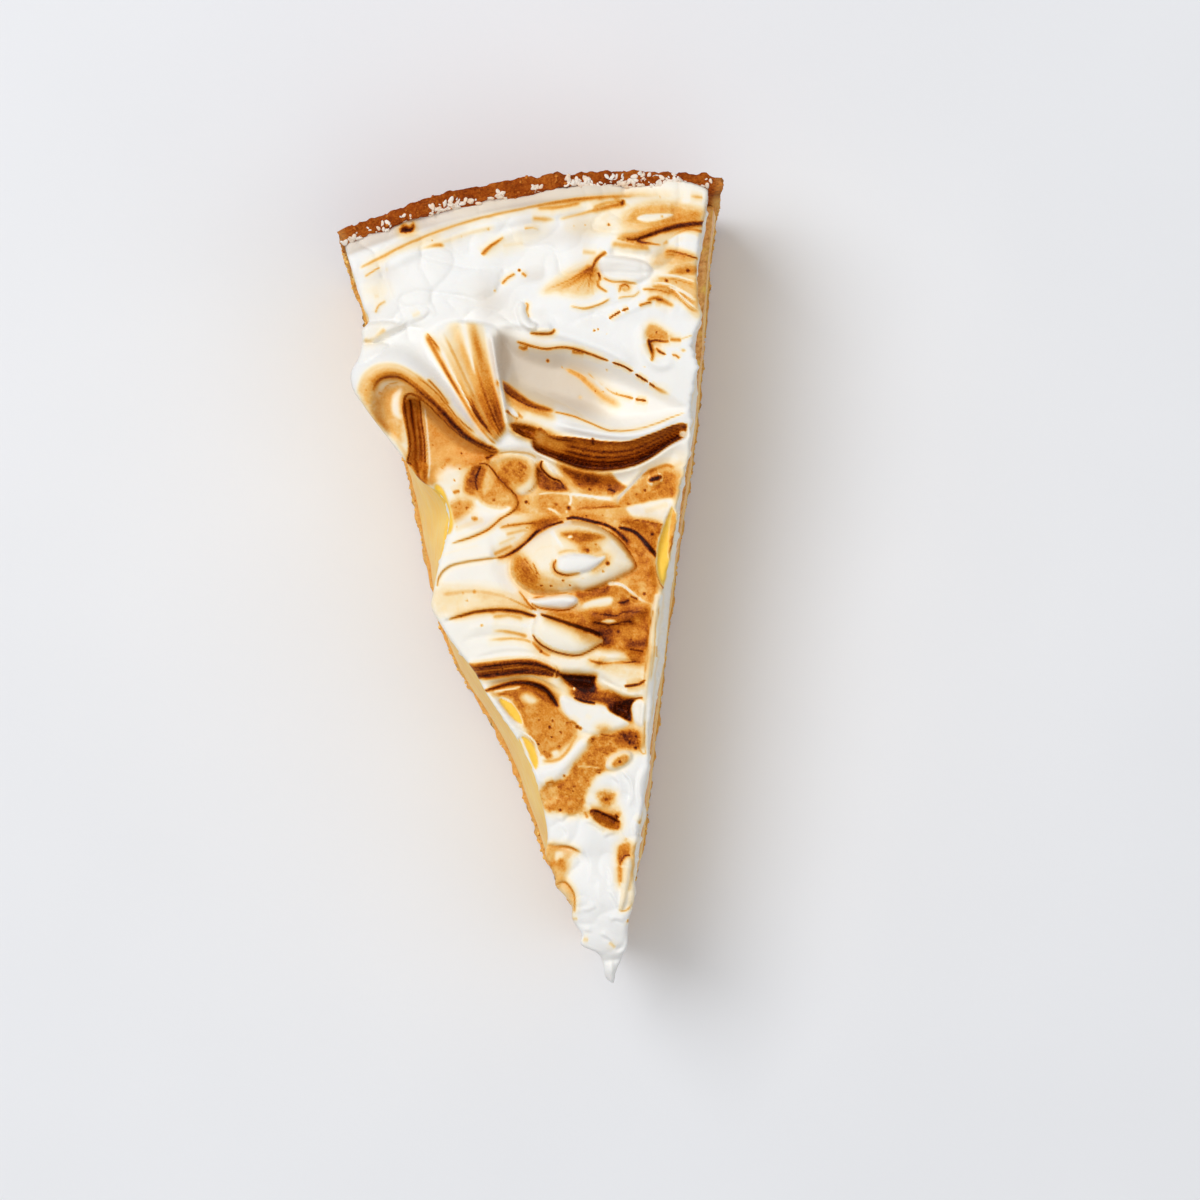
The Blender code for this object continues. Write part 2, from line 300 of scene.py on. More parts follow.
rows_near_rim = 1 - np.geomspace(1, 0.0006, 24) * 0.02
along_rows = np.concatenate([np.linspace(0, 0.98, 220), rows_near_rim[1:], [1]])
(across, along, through_it), crust_faces = box_skin(CRUST_ACROSS, len(along_rows) - 1, CRUST_THROUGH)
along = along_rows[np.rint(along * (len(along_rows) - 1)).astype(int)]
path_y, path_z, normal_y, normal_z, thickness = crust_path(along)
y = path_y + normal_y * thickness * (through_it - 0.5)
z = path_z + normal_z * thickness * (through_it - 0.5)
x, y = bowed(y, lambda at: cut_sides(at, z), across)
left, right = cut_sides(y)
from_side = np.minimum(across, 1 - across) * (right - left)
cut = ease(1.6 - from_side / 0.9)
lumps = 0.42 * grain(x / 2.6, y / 2.6, z / 2.6) + 0.26 * grain(x / 1.1, y / 1.1, z / 1.1 + 9)
outside = ease((z - 1.0) / 2)
near_rim = ease((z - 31) / 5)
crumbly = 0.24 * grain(x / 0.55, y / 0.55, z / 0.55 + 5) * near_rim
y = y + (lumps + crumbly) * outside * (1 - 0.6 * cut)
z = z + (lumps + crumbly) * outside * 1.1 * near_rim
broken = 0.42 * grain(y / 1.5, z / 1.5, 3.5) + 0.38 * grain(y / 0.6, z / 0.6, 6.5)
x = x + broken * cut * np.where(across > 0.5, 1, -1)
z = np.maximum(z, 0)
crust = make_piece("shortcrust_shell", (x, y, z), crust_faces, {"cut": cut})

pastry = Finish("baked_shortcrust")
oven = pastry.noise(6, 4, 0.6)
crumb = pastry.noise(0.5, 3, 0.65)
high = pastry.node("ShaderNodeSeparateXYZ", None, {0: pastry.place}, output="Z")
dark_rim = high.between(20 * MM, 36 * MM)
baked = (oven * 0.8 + crumb * 0.7 - 0.42 + dark_rim * 0.22).clipped()
outside_colour = pastry.ramp(baked, (0.0, linear(226, 152, 70)), (0.3, linear(202, 114, 36)),
    (0.6, linear(160, 72, 12)), (0.85, linear(104, 34, 4)), (1, linear(60, 16, 2)))
cut_colour = pastry.ramp(crumb, (0.2, linear(240, 162, 72)), (0.45, linear(251, 186, 96)),
    (0.7, linear(254, 202, 124)), (0.9, linear(255, 230, 178)))
on_cut = (pastry.attribute("cut") * 1.3 * (1 - high.between(25 * MM, 34 * MM) * 0.8)).clipped()
pastry_colour = pastry.mix(on_cut, outside_colour, cut_colour)
pastry_bump = pastry.bump(crumb, 0.5, pastry.bump(pastry.noise(1.6, 4, 0.6), 0.5))
crust.data.materials.append(pastry.surface(pastry_colour, 0.9, pastry_bump, ior=1.2, sheer=0.05))
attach(crust, "root")
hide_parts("crust")

# =============================================================================
# The filling: lemon curd set firm in the shell, with smooth moist cut faces. The left side has slumped
# outwards, so its face leans and shows from above; the knife has dragged crumbs over the right one's top.

FILLING_TOP, FILLING_FOOT = 24.5, 3.45
BARE_LEDGE = ((8, 0), (18, 0.4), (25, 1.7), (32, 2.0), (40, 2.2), (50, 1.8), (57, 0.9), (63, 0.1),
    (68, 1.0), (74, 3.0), (79, 4.4), (84, 1.8), (90, 0.1), (100, 0), (108, 0.2), (116, 0.6), (127, 0.4))


def filling_sides(y, z):
    """x of the filling's cut faces: they bulge a little, and the left one leans in towards its top."""
    up = (z - FILLING_FOOT) / (FILLING_TOP - FILLING_FOOT)
    left, right = cut_sides(y, z, 0.5)
    bulge = 0.5 * np.sin(np.pi * up)
    return left + through(BARE_LEDGE, y) * up**1.3 - bulge, right + bulge - 0.3 * up


(across, along, up), filling_faces = box_skin(70, 220, 26)
z = FILLING_FOOT + up * (FILLING_TOP - FILLING_FOOT)
y = CRUST_TIP_Y + 1.4 + along * (inner_wall(z) - 0.15 - CRUST_TIP_Y - 1.4)
x, y = bowed(y, lambda at: filling_sides(at, z), across)
edge = ease(1 - across * 30) - ease(1 - (1 - across) * 30)
x = x - edge * (0.22 * grain(y / 5, z / 7, 1.5) + 0.1 * grain(y / 1.6, z / 3, 4.5))
dragged = ease((across - 0.92) / 0.05) * ease((up - 0.68) / 0.25)
filling = make_piece("lemon_curd_filling", (x, y, z), filling_faces, {"crumbed": dragged})

curd = Finish("lemon_curd")
cloud = curd.noise(7, 3, 0.5)
clean = curd.ramp(cloud, (0.25, linear(250, 190, 66)), (0.55, linear(254, 203, 90)),
    (0.85, linear(255, 217, 118)))
crumbs = curd.ramp(curd.noise(0.7, 3, 0.6), (0.3, linear(206, 132, 58)), (0.55, linear(248, 182, 98)),
    (0.8, linear(254, 208, 136)))
crumbed = curd.attribute("crumbed") * curd.noise(4, 3, 0.6).between(0.3, 0.5)
curd_colour = curd.mix(crumbed, clean, crumbs)
curd_bump = curd.bump(curd.noise(1.5, 3, 0.5, stretch=(1, 0.3, 1)), 0.25)
filling.data.materials.append(curd.surface(curd_colour, 0.35, curd_bump, ior=1.33, sheer=0.25, sheer_mm=2))
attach(filling, "root")
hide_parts("lemon_filling")

# =============================================================================
# The meringue: glossy whipped egg white swept over the curd with a spatula and browned with a torch. Its
# folds, lips and smears are one soft body. The flame has caught what stands up: the browning follows them.

MERINGUE_BASE, MERINGUE_TIP_Y, MERINGUE_BACK_Y = 24.8, -0.3, 127.0
TIP_UNDERCUT, BACK_LEAN = 5.3, 1.3
CELL, WALL_CELL, BACK_ROWS, LINE_STEP, GLOW_REACH = 0.225, 0.9, 10, 0.35, 1.6
LEVELS = ((-0.3, 27.6), (1.5, 29.2), (4, 31.8), (8, 33.6), (12, 34.6), (30, 36), (60, 37.5), (84, 37.4),
    (92, 38.5), (108, 38.6), (119, 37.8), (123.6, 37.2), (125.6, 36.7), (127, 36.6))
LEFT_OUTLINE = ((-0.3, 0.1), (0, -0.3), (3, -1.1), (5, -1.9), (6.6, -4.3), (8, -4), (11, -5.2),
    (13, -5.1), (15, -6.2), (16.5, -7.3), (18, -7.2), (20, -8), (22, -8.4), (24, -7.8), (28, -7.8),
    (31, -8.2), (35, -8.7), (38, -9.8), (41, -11), (44, -12.6), (49, -15.2), (52, -16.4), (56, -18.8),
    (60, -20.9), (63.5, -22.2), (66, -21.5), (70, -20.2), (74, -18.6), (78, -17.8), (81, -18.9),
    (83.5, -21.7), (86, -23.3), (91, -26.3), (96, -29.2), (99.5, -30.9), (102, -30.8), (104, -29.4),
    (107, -28.5), (108.3, -28.4), (109.5, -27.3), (112, -27.8), (118, -29), (124, -30.2))
RIGHT_EDGE = ((-0.3, 0.25), (1, 0.7), (3, 1.6), (6, 3.1), (9, 3.7), (11, 4.3), (13, 5.0), (17, 5.3),
    (24, 6.9), (28, 7.9), (36, 9.8), (40, 10.3), (45, 11.3), (50, 12.4), (55, 13.4), (60, 14.4),
    (64, 15.7), (70, 17.2), (75, 18.4), (80, 19.8), (85, 21.4), (90, 21.9), (94, 23.1), (97, 23.8),
    (100, 23.4), (104, 25), (108, 25.5), (113, 25.9), (118, 27.3), (124, 28.9))
RIGHT_FOOT = ((-0.3, 0.4), (1, 0.8), (3, 1.7), (6, 3.2), (9, 3.9), (11, 4.9), (13, 5.7), (15, 5.4),
    (17, 5.8), (20, 6.6), (24, 7.6), (26, 8.5), (28, 8.4), (32, 9.5), (36, 10.1), (40, 11), (45, 12.3),
    (50, 13.8), (60, 16), (70, 18.3), (80, 20.6), (85, 22.3), (94, 24.1), (102, 24.9), (104, 25.6),
    (106, 25.4), (114, 26.6), (118, 27.8), (124, 29.1))


def top_sides(y):
    """x of the left and right edges of the meringue's top."""
    return through(LEFT_OUTLINE, y), through(RIGHT_EDGE, y)


def foot_sides(y):
    """x of the left and right edges of the meringue's foot, which stands on the filling."""
    left, right = filling_sides(y, FILLING_TOP)
    foot_left = np.maximum(left + 0.25, through(LEFT_OUTLINE, y) - 0.35)
    return foot_left, np.minimum(right + 0.9, through(RIGHT_FOOT, y))


def zip_rows(lower, upper):
    """Triangles between two rows, each given as its points' numbers and their places across."""
    (a, a_at), (b, b_at) = lower, upper
    made, i, j = [], 0, 0
    while i < len(a) - 1 or j < len(b) - 1:
        if j == len(b) - 1 or (i < len(a) - 1 and a_at[i + 1] <= b_at[j + 1]):
            made.append((a[i], a[i + 1], b[j]))
            i += 1
        else:
            made.append((a[i], b[j + 1], b[j]))
            j += 1
    return made


# The body is laid out in rows from the point to the rim. Each row climbs the left side from the foot
# (-1 to 0), crosses the top (0 to 1) and goes down the right side (1 to 2). The last rows go down the back.
step_y = (MERINGUE_BACK_Y - MERINGUE_TIP_Y) / round((MERINGUE_BACK_Y - MERINGUE_TIP_Y) / CELL)
rows = [(y, 0) for y in np.arange(MERINGUE_TIP_Y, MERINGUE_BACK_Y + step_y / 2, step_y)]
rows += [(MERINGUE_BACK_Y, number / BACK_ROWS) for number in range(1, BACK_ROWS + 1)]
row_of, place_in_row, faces, before, corners = [], [], [], None, []
count = 0
for number, (row_y, down) in enumerate(rows):
    left, right = top_sides(row_y)
    cells = max(2, round(float(right - left) / CELL))
    wall = round(float(through(LEVELS, row_y) - MERINGUE_BASE) * (1 - down) / WALL_CELL) if down < 1 else 0
    places = np.concatenate([np.arange(-wall, 0) / max(wall, 1), np.arange(cells + 1) / cells,
        1 + np.arange(1, wall + 1) / max(wall, 1)])
    numbers = np.arange(count, count + len(places))
    spans = ((0, wall + 1), (wall, wall + cells + 1), (wall + cells, len(places)))
    parts = [(numbers[low:high], places[low:high]) for low, high in spans]
    if before:
        for lower, upper in zip(before, parts):
            faces += zip_rows(lower, upper)
    before = parts
    corners.append((numbers[wall], numbers[wall + cells], numbers[0], numbers[-1]))
    row_of.append(np.full(len(places), number))
    place_in_row.append(places)
    count += len(places)
row_of, place_in_row, corners = np.concatenate(row_of), np.concatenate(place_in_row), np.array(corners)
tip_ring = np.arange(0, corners[0][3] + 1)[::-1]
last_row = np.arange(corners[-1][2], corners[-1][3] + 1)
under_ring = np.concatenate([corners[:-1, 2], last_row, corners[:-1, 3][::-1]])
faces += [tuple(tip_ring), tuple(under_ring)]

row_y, down = np.array(rows).T[:, row_of]
across = np.clip(place_in_row, 0, 1)
x, y = bowed(row_y, top_sides, across)
on_top = (place_in_row >= 0) & (place_in_row <= 1) & (down == 0)
top_number = np.flatnonzero(on_top)
top_x, top_y = x[on_top], y[on_top]
height = through(LEVELS, row_y[on_top])
toast, curd_shows, char, glassy = (np.zeros(len(top_x)) for _ in range(4))
shift_x, shift_y = np.zeros(len(top_x)), np.zeros(len(top_x))


def smooth_line(points, closed=False):
    """Closely spaced points of a smooth curve through the given ones."""
    p = np.array(points, float)
    if closed:
        p = np.vstack([p[-1], p, p[:2]])
    else:
        p = np.vstack([2 * p[0] - p[1], p, 2 * p[-1] - p[-2]])
    out = []
    for a, b, c, d in zip(p[:-3], p[1:-2], p[2:-1], p[3:]):
        t = np.linspace(0, 1, max(2, int(np.hypot(*(c - b)) / LINE_STEP)), endpoint=False)[:, None]
        out.append(b + 0.5 * t * (c - a + t * (2 * a - 5 * b + 4 * c - d + t * (3 * (b - c) + d - a))))
    if not closed:
        out.append(p[-2][None])
    return np.vstack(out)


def close_by(line, margin):
    """Numbers of the top's points inside the line's box with a margin."""
    low, high = line.min(0) - margin, line.max(0) + margin
    return np.flatnonzero((top_x > low[0]) & (top_x < high[0]) & (top_y > low[1]) & (top_y < high[1]))


def nearest_spots(line, near, closed=False):
    """For each point: its distance from the line, positive on the left, and the share of the line run."""
    start = line if closed else line[:-1]
    run = (np.roll(line, -1, 0) if closed else line[1:]) - start
    px, py = top_x[near][:, None] - start[:, 0], top_y[near][:, None] - start[:, 1]
    t = np.clip((px * run[:, 0] + py * run[:, 1]) / (run**2).sum(1), 0, 1)
    gap = np.hypot(px - t * run[:, 0], py - t * run[:, 1])
    best = gap.argmin(1)
    pick = np.arange(len(near)), best
    side = np.sign(run[best, 0] * py[pick] - run[best, 1] * px[pick])
    return side * gap[pick], (best + t[pick]) / len(start)


def along(points, reach):
    line = smooth_line(points)
    near = close_by(line, reach)
    side, share = nearest_spots(line, near)
    keep = np.abs(side) < reach
    return near[keep], side[keep], share[keep]


def within(outline, margin):
    """The points in a closed outline or less than a margin outside it, and how deep inside each lies."""
    ring = smooth_line(outline, closed=True)
    near = close_by(ring, margin)
    side, _ = nearest_spots(ring, near, closed=True)
    start, end = ring, np.roll(ring, -1, 0)
    py = top_y[near][:, None]
    crosses = (start[:, 1] > py) != (end[:, 1] > py)
    at = start[:, 0] + (py - start[:, 1]) * (end[:, 0] - start[:, 0]) / (end[:, 1] - start[:, 1] + 1e-9)
    inside = (crosses & (top_x[near][:, None] < at)).sum(1) % 2 == 1
    depth = np.where(inside, np.abs(side), -np.abs(side))
    return near[depth > -margin], depth[depth > -margin]


def varied(value, share):
    """A number, or several spread evenly along a line, at each share of it."""
    value = np.atleast_1d(value)
    return np.interp(share, np.linspace(0, 1, len(value)), value)


def brush(points, width, ends, left, right, edge, wobble=1.0):
    """Points near a line and a stroke's strength there, from its half width, end tapers and side factors."""
    near, side, share = along(points, 2.8 * np.max(width) * max(left, right) + 0.3)
    wander = wobble * grain(top_x[near] / 0.9, top_y[near] / 0.9, 31.5)
    side = side + 0.05 * wander
    reach = varied(width, share) * (1 + 0.22 * wander) * np.where(side > 0, left, right) * 0.88
    spread = np.hypot(reach, 0.08)
    strength = np.exp(-np.abs(side / spread) ** edge)
    for end, from_end in zip(ends, (share, 1 - share)):
        if end:
            strength = strength * ease(from_end / end)
    return near, side, share, strength


def burn(points, width, dark, ends=(0.15, 0.15), left=1.0, right=1.0, edge=2.0, glow=0.28):
    """A browned line with a paler glow round it: 0 is white, 0.5 golden brown and 1 nearly black.

    Where it is dark it also gets a thin charred core.
    """
    near, side, share, strength = brush(points, width, ends, left, right, edge)
    half, browning = varied(width, share), 0.9 * varied(dark, share)
    halo = np.exp(-((side / (2.4 * half + 0.3)) ** 2)) * ease(share * 8) * ease(8 - share * 8)
    toast[near] = np.maximum(toast[near], strength * browning)
    toast[near] += glow * halo * browning * (1 - toast[near]) * 0.8
    core = (1.25 - np.abs(side) / (0.2 + 0.6 * half)) * ease((browning - 0.45) / 0.5)
    for end, from_end in zip(ends, (share, 1 - share)):
        core = core * ease(from_end / max(end, 0.02))
    char[near] = np.maximum(char[near], core)


def wipe(points, width, dark=0.02, ends=(0.1, 0.1), left=1.0, right=1.0, edge=4.0):
    """A smear of fresh meringue over whatever is there."""
    near, _, share, strength = brush(points, width, ends, left, right, edge)
    toast[near] += strength * (varied(dark, share) - toast[near])
    char[near] *= 1 - strength
    curd_shows[near] *= 1 - strength


def ridge(points, width, rise, ends=(0.15, 0.15), left=1.0, right=1.0, edge=2.0):
    near, _, share, strength = brush(points, width, ends, left, right, edge, 0)
    height[near] += strength * varied(rise, share)


def patch(outline, dark, soft=0.4, mottle=0.2, size=1.3, cover=True):
    """A browned area with a soft edge and a faint glow; it covers what is there, or only darkens it."""
    near, depth = within(outline, GLOW_REACH)
    glow = 0.3 * dark * np.exp(-((np.minimum(depth, 0) / 0.8) ** 2)) * (depth < 0)
    toast[near] += glow * (1 - toast[near])
    at_x, at_y = top_x[near] / size, top_y[near] / size
    share = ease((depth + 0.25 * soft * grain(at_x * 1.6, at_y * 1.6, 41.5)) / soft / 2 + 0.5)
    uneven = 0.55 * grain(at_x, at_y) + 0.4 * grain(at_x * 2.3, at_y * 2.3)
    uneven += 0.35 * grain(at_x * 5, at_y * 5)
    value = dark * (1 + mottle * uneven)
    if cover:
        char[near] *= 1 - share
    else:
        value = np.maximum(toast[near], value)
    toast[near] += share * (value - toast[near])


def paint_shade(outline, strength, soft=1.0):
    """Painted shade: greys the foam's colour over an area, standing in for the shadow that falls there."""
    near, depth = within(outline, soft)
    glassy[near] = np.maximum(glassy[near], strength * ease(depth / soft / 2 + 0.5))


def lobe(outline, rise, roll, dark=0.02, foot=0.25, soft=0.18):
    """A rounded blob laid on the rest, with a pressed-in line round its foot."""
    near, depth = within(outline, 0.9)
    crown = np.sqrt(1 - (1 - np.clip(depth / roll, 0, 1)) ** 2)
    outside = np.clip(-depth, 0, 1)
    height[near] += rise * crown - foot * np.exp(-((outside / 0.35) ** 2)) * (depth < 0)
    share = ease(depth / soft / 2 + 0.5)
    toast[near] += share * (dark - toast[near])
    char[near] *= 1 - share
    curd_shows[near] *= 1 - share


def sweep(first, second, rise=0.0, dark=0.0, stripes=(), streaks=0.0, fineness=12, fades=(0, 0), soft=0.25):
    """The track of a spatula between two lines that run the same way, with stripes along it.

    Each stripe is its place across (0 on the first line, 1 on the second), half width and browning.
    """
    near, depth = within(list(first) + list(second)[::-1], soft)
    one, share = nearest_spots(smooth_line(first), near)
    other, _ = nearest_spots(smooth_line(second), near)
    across = np.abs(one) / (np.abs(one) + np.abs(other) + 1e-6)
    value = np.full(len(near), float(dark))
    for place, width, browning in stripes:
        strength = np.exp(-(((across - place) / width) ** 2))
        value += strength * (varied(browning, share) - value)
    value += streaks * grain(across * fineness, share * 4) * np.minimum(1, value * 3)
    mask = ease(depth / soft / 2 + 0.5)
    for end, from_end in zip(fades, (share, 1 - share)):
        if end:
            mask = mask * ease(from_end / end)
    toast[near] += mask * (value - toast[near])
    char[near] *= 1 - mask
    height[near] += mask * (varied(rise, across) + 0.1 * streaks * grain(across * fineness, share * 4))


def level(outline, rise, soft=0.8):
    """Lifts or lowers an area, with a slope of the given width at its border."""
    near, depth = within(outline, soft)
    height[near] += rise * ease(depth / soft / 2 + 0.5)


def fold(points, rise, width=1.0, ends=(0.2, 0.2)):
    """The free edge of a fold: it stands up on the left of the line and has a crease on the right."""
    near, side, share = along(points, 3 * width + 0.6)
    strength = np.where(side > 0, np.exp(-np.abs(side) / width), 0) * ease((side + 0.12) / 0.3)
    crease = 0.3 * np.exp(-(((side + 0.2) / 0.25) ** 2))
    for end, from_end in zip(ends, (share, 1 - share)):
        if end:
            strength, crease = strength * ease(from_end / end), crease * ease(from_end / end)
    height[near] += varied(rise, share) * (strength - crease)


def dots(*spots):
    """Small burnt bubbles: x, y, radius and browning."""
    for spot_x, spot_y, radius, dark in spots:
        near = np.flatnonzero((np.abs(top_x - spot_x) < 3 * radius) & (np.abs(top_y - spot_y) < 3 * radius))
        away = np.hypot(top_x[near] - spot_x, top_y[near] - spot_y) / radius
        toast[near] = np.maximum(toast[near], dark * np.exp(-(away**3)))
        height[near] -= 0.12 * np.exp(-(away**2))


def ellipse(centre_x, centre_y, half_length, half_width, turn=0.0):
    """Outline points of an oval turned by degrees."""
    angle = np.linspace(0, 2 * np.pi, 12, endpoint=False)
    c, s = math.cos(math.radians(turn)), math.sin(math.radians(turn))
    u, v = half_length * np.cos(angle), half_width * np.sin(angle)
    return np.stack([centre_x + u * c - v * s, centre_y + u * s + v * c], 1)


# Soft unevenness all over, with broader waves and creases where the flame has hardly touched the foam.
height += 0.3 * grain(top_x / 9, top_y / 9, 2.5) + 0.1 * grain(top_x / 3, top_y / 3, 5.5)
height += 0.035 * grain(top_x / 0.9, top_y / 0.9, 7.5)
untouched = ease((top_y - 104) / 4) + ease((34 - top_y) / 5)
height += (1.8 - 0.7 * (top_y < 60)) * untouched * grain(top_x / 9, top_y / 7, 81.5)
for size, depth, seed in ((9, 0.9, 71.5), (5, 0.4, 75.5)):
    bend_x, bend_y = grain(top_x / size, top_y / size, seed), grain(top_x / size, top_y / size, seed + 2)
    swirl = grain(top_x / size + 0.7 * bend_x, top_y / size * 1.4 + 0.7 * bend_y, seed + 4)
    crease = np.where(swirl > 0, 0.6, 0.25) * np.exp(-np.abs(swirl) / 0.07)
    height += depth * untouched * (0.7 * np.abs(swirl) - crease)

# Everything between the toasted places has a faint cream tint, strongest where the slice is browned most.
middle = ease((top_y - 34) / 6) * ease((90 - top_y) / 8)
toast += (0.03 + 0.08 * ease((top_x + 10) / 8)) * (1 + grain(top_x / 5, top_y / 5, 51.5)) * middle
toast += 0.02 * np.clip(grain(top_x / 5, top_y / 4, 61.5), 0, 1)

# The strip along the rim: smooth bands that follow the dish, their crests caught by the flame.
ridge([(-29, 116.5), (-14, 121.6), (0, 123.8), (14, 124), (28, 123)], 1.3, 0.5, edge=3)
ridge([(-29, 119.4), (-14, 124), (0, 126.2), (14, 126.3), (28, 125.3)], 0.8, -0.5)
burn([(-28, 118.2), (-18, 121.9), (-8, 124.2), (6, 125.6)], 0.3, 0.4, (0.03, 0))
burn([(-28, 118.1), (-13, 123)], 0.8, 0.14, left=0.4)
burn([(0, 125.2), (10, 125.6), (21, 125.2), (28.3, 124.3)], (0.3, 0.5, 0.5, 0.3), (0.4, 0.6, 0.5, 0.35),
    (0, 0.05))
burn([(1, 124.9), (5, 124.6), (9, 125)], 0.4, 0.42)
burn([(3, 124.2), (5.5, 124.7), (9, 125)], 0.3, 0.34)
burn([(-27.2, 116.8), (-24.3, 118.2)], 0.17, 0.42)
burn([(-23, 118.7), (-16, 120.4), (-13.5, 120.3)], (0.16, 0.25, 0.35), (0.3, 0.42, 0.58), left=1.5)
burn([(-16.5, 120.4), (-10, 121.9), (-5, 122.6)], 0.45, 0.16)
burn([(0.2, 123.3), (4.5, 122.6)], (0.5, 0.5, 0.2), (0.38, 0.36, 0.2), (0.2, 0.3))
burn([(4.5, 122.6), (16, 124.2)], (0.25, 0.35, 0.6), (0.26, 0.4, 0.62), (0.1, 0.1))
burn([(10, 123.6), (12.5, 124.4), (16, 124.4)], 0.5, 0.4)
patch([(6, 121.3), (11, 122.8), (25, 124.4), (28.6, 123.6), (28.3, 120), (24, 119.8), (19, 118.9),
    (9, 119.8)], 0.115, 0.8, 0.45, 1.5, cover=False)
patch([(-20.8, 123.5), (-20, 124.1), (-19.2, 123.9), (-18.4, 124.3), (-18.6, 123.5), (-19.6, 123.2)],
    0.95, 0.2, 0.1, 0.6)
ridge([(-20.6, 123.6), (-18.6, 123.8)], 0.45, 0.6, (0, 0))
patch([(15.5, 122), (18, 123.4), (22, 123.4), (27.5, 121.4), (27.8, 120.3), (21, 120), (16, 120.6)], 0.36,
    0.8, 0.4, 1.2, cover=False)
wipe([(24.5, 123.6), (26.5, 123.3), (28.5, 122.6)], 0.5, 0.05, edge=2)
lobe([(17.2, 121.3), (18.5, 121.9), (23, 121.5), (21.5, 120.8), (19, 120.6)], 0.35, 0.6, 0.04, 0.1)
dots((21.2, 121.3, 0.18, 0.5), (12.6, 120.9, 0.25, 0.75), (8.9, 121.3, 0.15, 0.5), (7, 121.4, 0.12, 0.4),
    (21.2, 124.5, 0.2, 0.4))
dots((-23.3, 117.6, 0.35, 0.35), (-17.6, 118, 0.4, 0.22), (-6.6, 122.3, 0.3, 0.34),
    (-11, 121.6, 0.25, 0.26), (-15.7, 121.4, 0.12, 0.6))
burn([(15, 124), (15.3, 124.5)], 0.38, 0.92, (0, 0))
burn([(26, 124.1), (28.2, 123.6)], 0.25, (0.5, 0.85, 0.7))

# The dark ridge at the right of the rim, with the toasted steps under it.
ridge([(13, 119), (17, 118.6), (21, 119.3), (28.5, 119.6)], 0.9, 0.9, left=1.4, right=0.4)
ridge([(12, 116.8), (16, 115.6), (19.5, 115.2)], 0.8, -0.9)
burn([(13, 118.9), (17, 118.6), (21, 119.5), (28.2, 119.7)], 0.9, 0.42, left=1, right=0.8)
burn([(14.8, 118.4), (17, 118.1), (23, 119.4), (28.2, 119.5)], (0.25, 0.5, 0.62, 0.55), (0.8, 1, 1, 0.95),
    (0.05, 0))
burn([(16.7, 118.1), (17.6, 117.5), (21, 116.6)], (0.4, 0.22, 0.12), (0.98, 0.8, 0.4), (0, 0.2))
burn([(20, 116.3), (24.5, 118.7), (27.8, 118.1)], 0.35, (0.3, 0.5, 0.62), (0.2, 0))
burn([(12.3, 117.9), (19.2, 116.2)], 0.55, 0.36)
burn([(13.3, 118.7), (18.8, 116.5)], 0.14, 0.5)
wipe([(21.5, 117), (24, 117.9), (26.5, 117.2)], 0.5, edge=2)
patch([(18.8, 114.2), (20, 115.7), (22.5, 115.8), (26, 114.3), (25.5, 113.4), (19.6, 113.3)], 0.3, 0.7,
    cover=False)
burn([(20.6, 115.6), (22.5, 115.5), (26, 114)], (0.25, 0.2, 0.14), (0.6, 0.72, 0.95), (0.2, 0))
burn([(20.8, 115), (22.5, 115), (24.6, 114.3)], 0.14, 0.55)
patch([(21.5, 112), (23, 113), (25.9, 112.9), (25.8, 111.6)], 0.42)
burn([(22.5, 112), (24.3, 112.3), (25.8, 111.7)], 0.3, 0.5)
dots((24.4, 112.2, 0.42, 0.9), (20.8, 111, 0.35, 0.85), (22.3, 110.6, 0.25, 0.55),
    (19.4, 110.6, 0.2, 0.4), (13.4, 113.2, 0.12, 0.6))
patch([(19, 111.4), (25.7, 111), (24.9, 104.8), (23.2, 107.4), (20.5, 109)], 0.27, 0.7, 0.3, cover=False)
for path in ([(19, 111.6), (22, 111.1), (25.6, 109.6)], [(18, 110.4), (21, 109.8), (24.6, 107.3)],
        [(20.5, 109.6), (22.8, 108.4), (25, 106.6)], [(21.6, 109), (23, 107.3), (24.8, 105.2)]):
    burn(path, 0.16, 0.5)
    wipe([(px + 0.35, py + 0.45) for px, py in path], 0.16, 0.08)
    ridge(path, 0.3, -0.2)
burn([(25.3, 111.5), (25.4, 108.5), (24.7, 105.4)], 0.35, 0.34)

# The brush of brown bristle marks and the petals round it.
patch([(9.8, 115), (6, 114.6), (1, 111.5), (3.2, 110.9), (8.2, 109.8), (10.4, 113)], 0.22, 0.7, 0.15,
    cover=False)
for end_x, end_y, dark in ((0.9, 111.4, 0.5), (3, 111, 0.5), (4.2, 111.3, 0.58), (5.8, 110.2, 0.46),
        (8, 109.8, 0.58), (9.2, 111.4, 0.56)):
    burn([(9.4, 114.6), (end_x * 0.45 + 4.9, end_y * 0.45 + 62.6), (end_x, end_y)], (0.24, 0.18, 0.09),
        (dark + 0.12, dark, 0.3), (0, 0.2))
    wipe([(9.2, 113.8), (end_x * 0.5 + 4.9, end_y * 0.5 + 56.6), (end_x + 0.9, end_y)], (0.04, 0.1, 0.18),
        (0.5, 0.2), (0.3, 0.1))
burn([(11.8, 116.7), (9.8, 115.2), (8.7, 112.8)], (0.35, 0.32, 0.3, 0.2), (0.62, 0.82, 0.85, 0.6),
    (0.05, 0.3))
ridge([(11.8, 116.6), (10, 115.4), (9, 113.6), (6, 111)], 0.8, 0.35)
burn([(10, 113.6), (10.25, 112.9), (10.2, 112.1)], 0.22, (0.98, 0.95, 0.7), (0.1, 0.1))
burn([(10.1, 112.3), (9.8, 111.4), (11.4, 110)], (0.3, 0.16), (0.6, 0.5), (0, 0.2))
burn([(7.8, 117.1), (10.3, 116.5)], 0.45, 0.26)
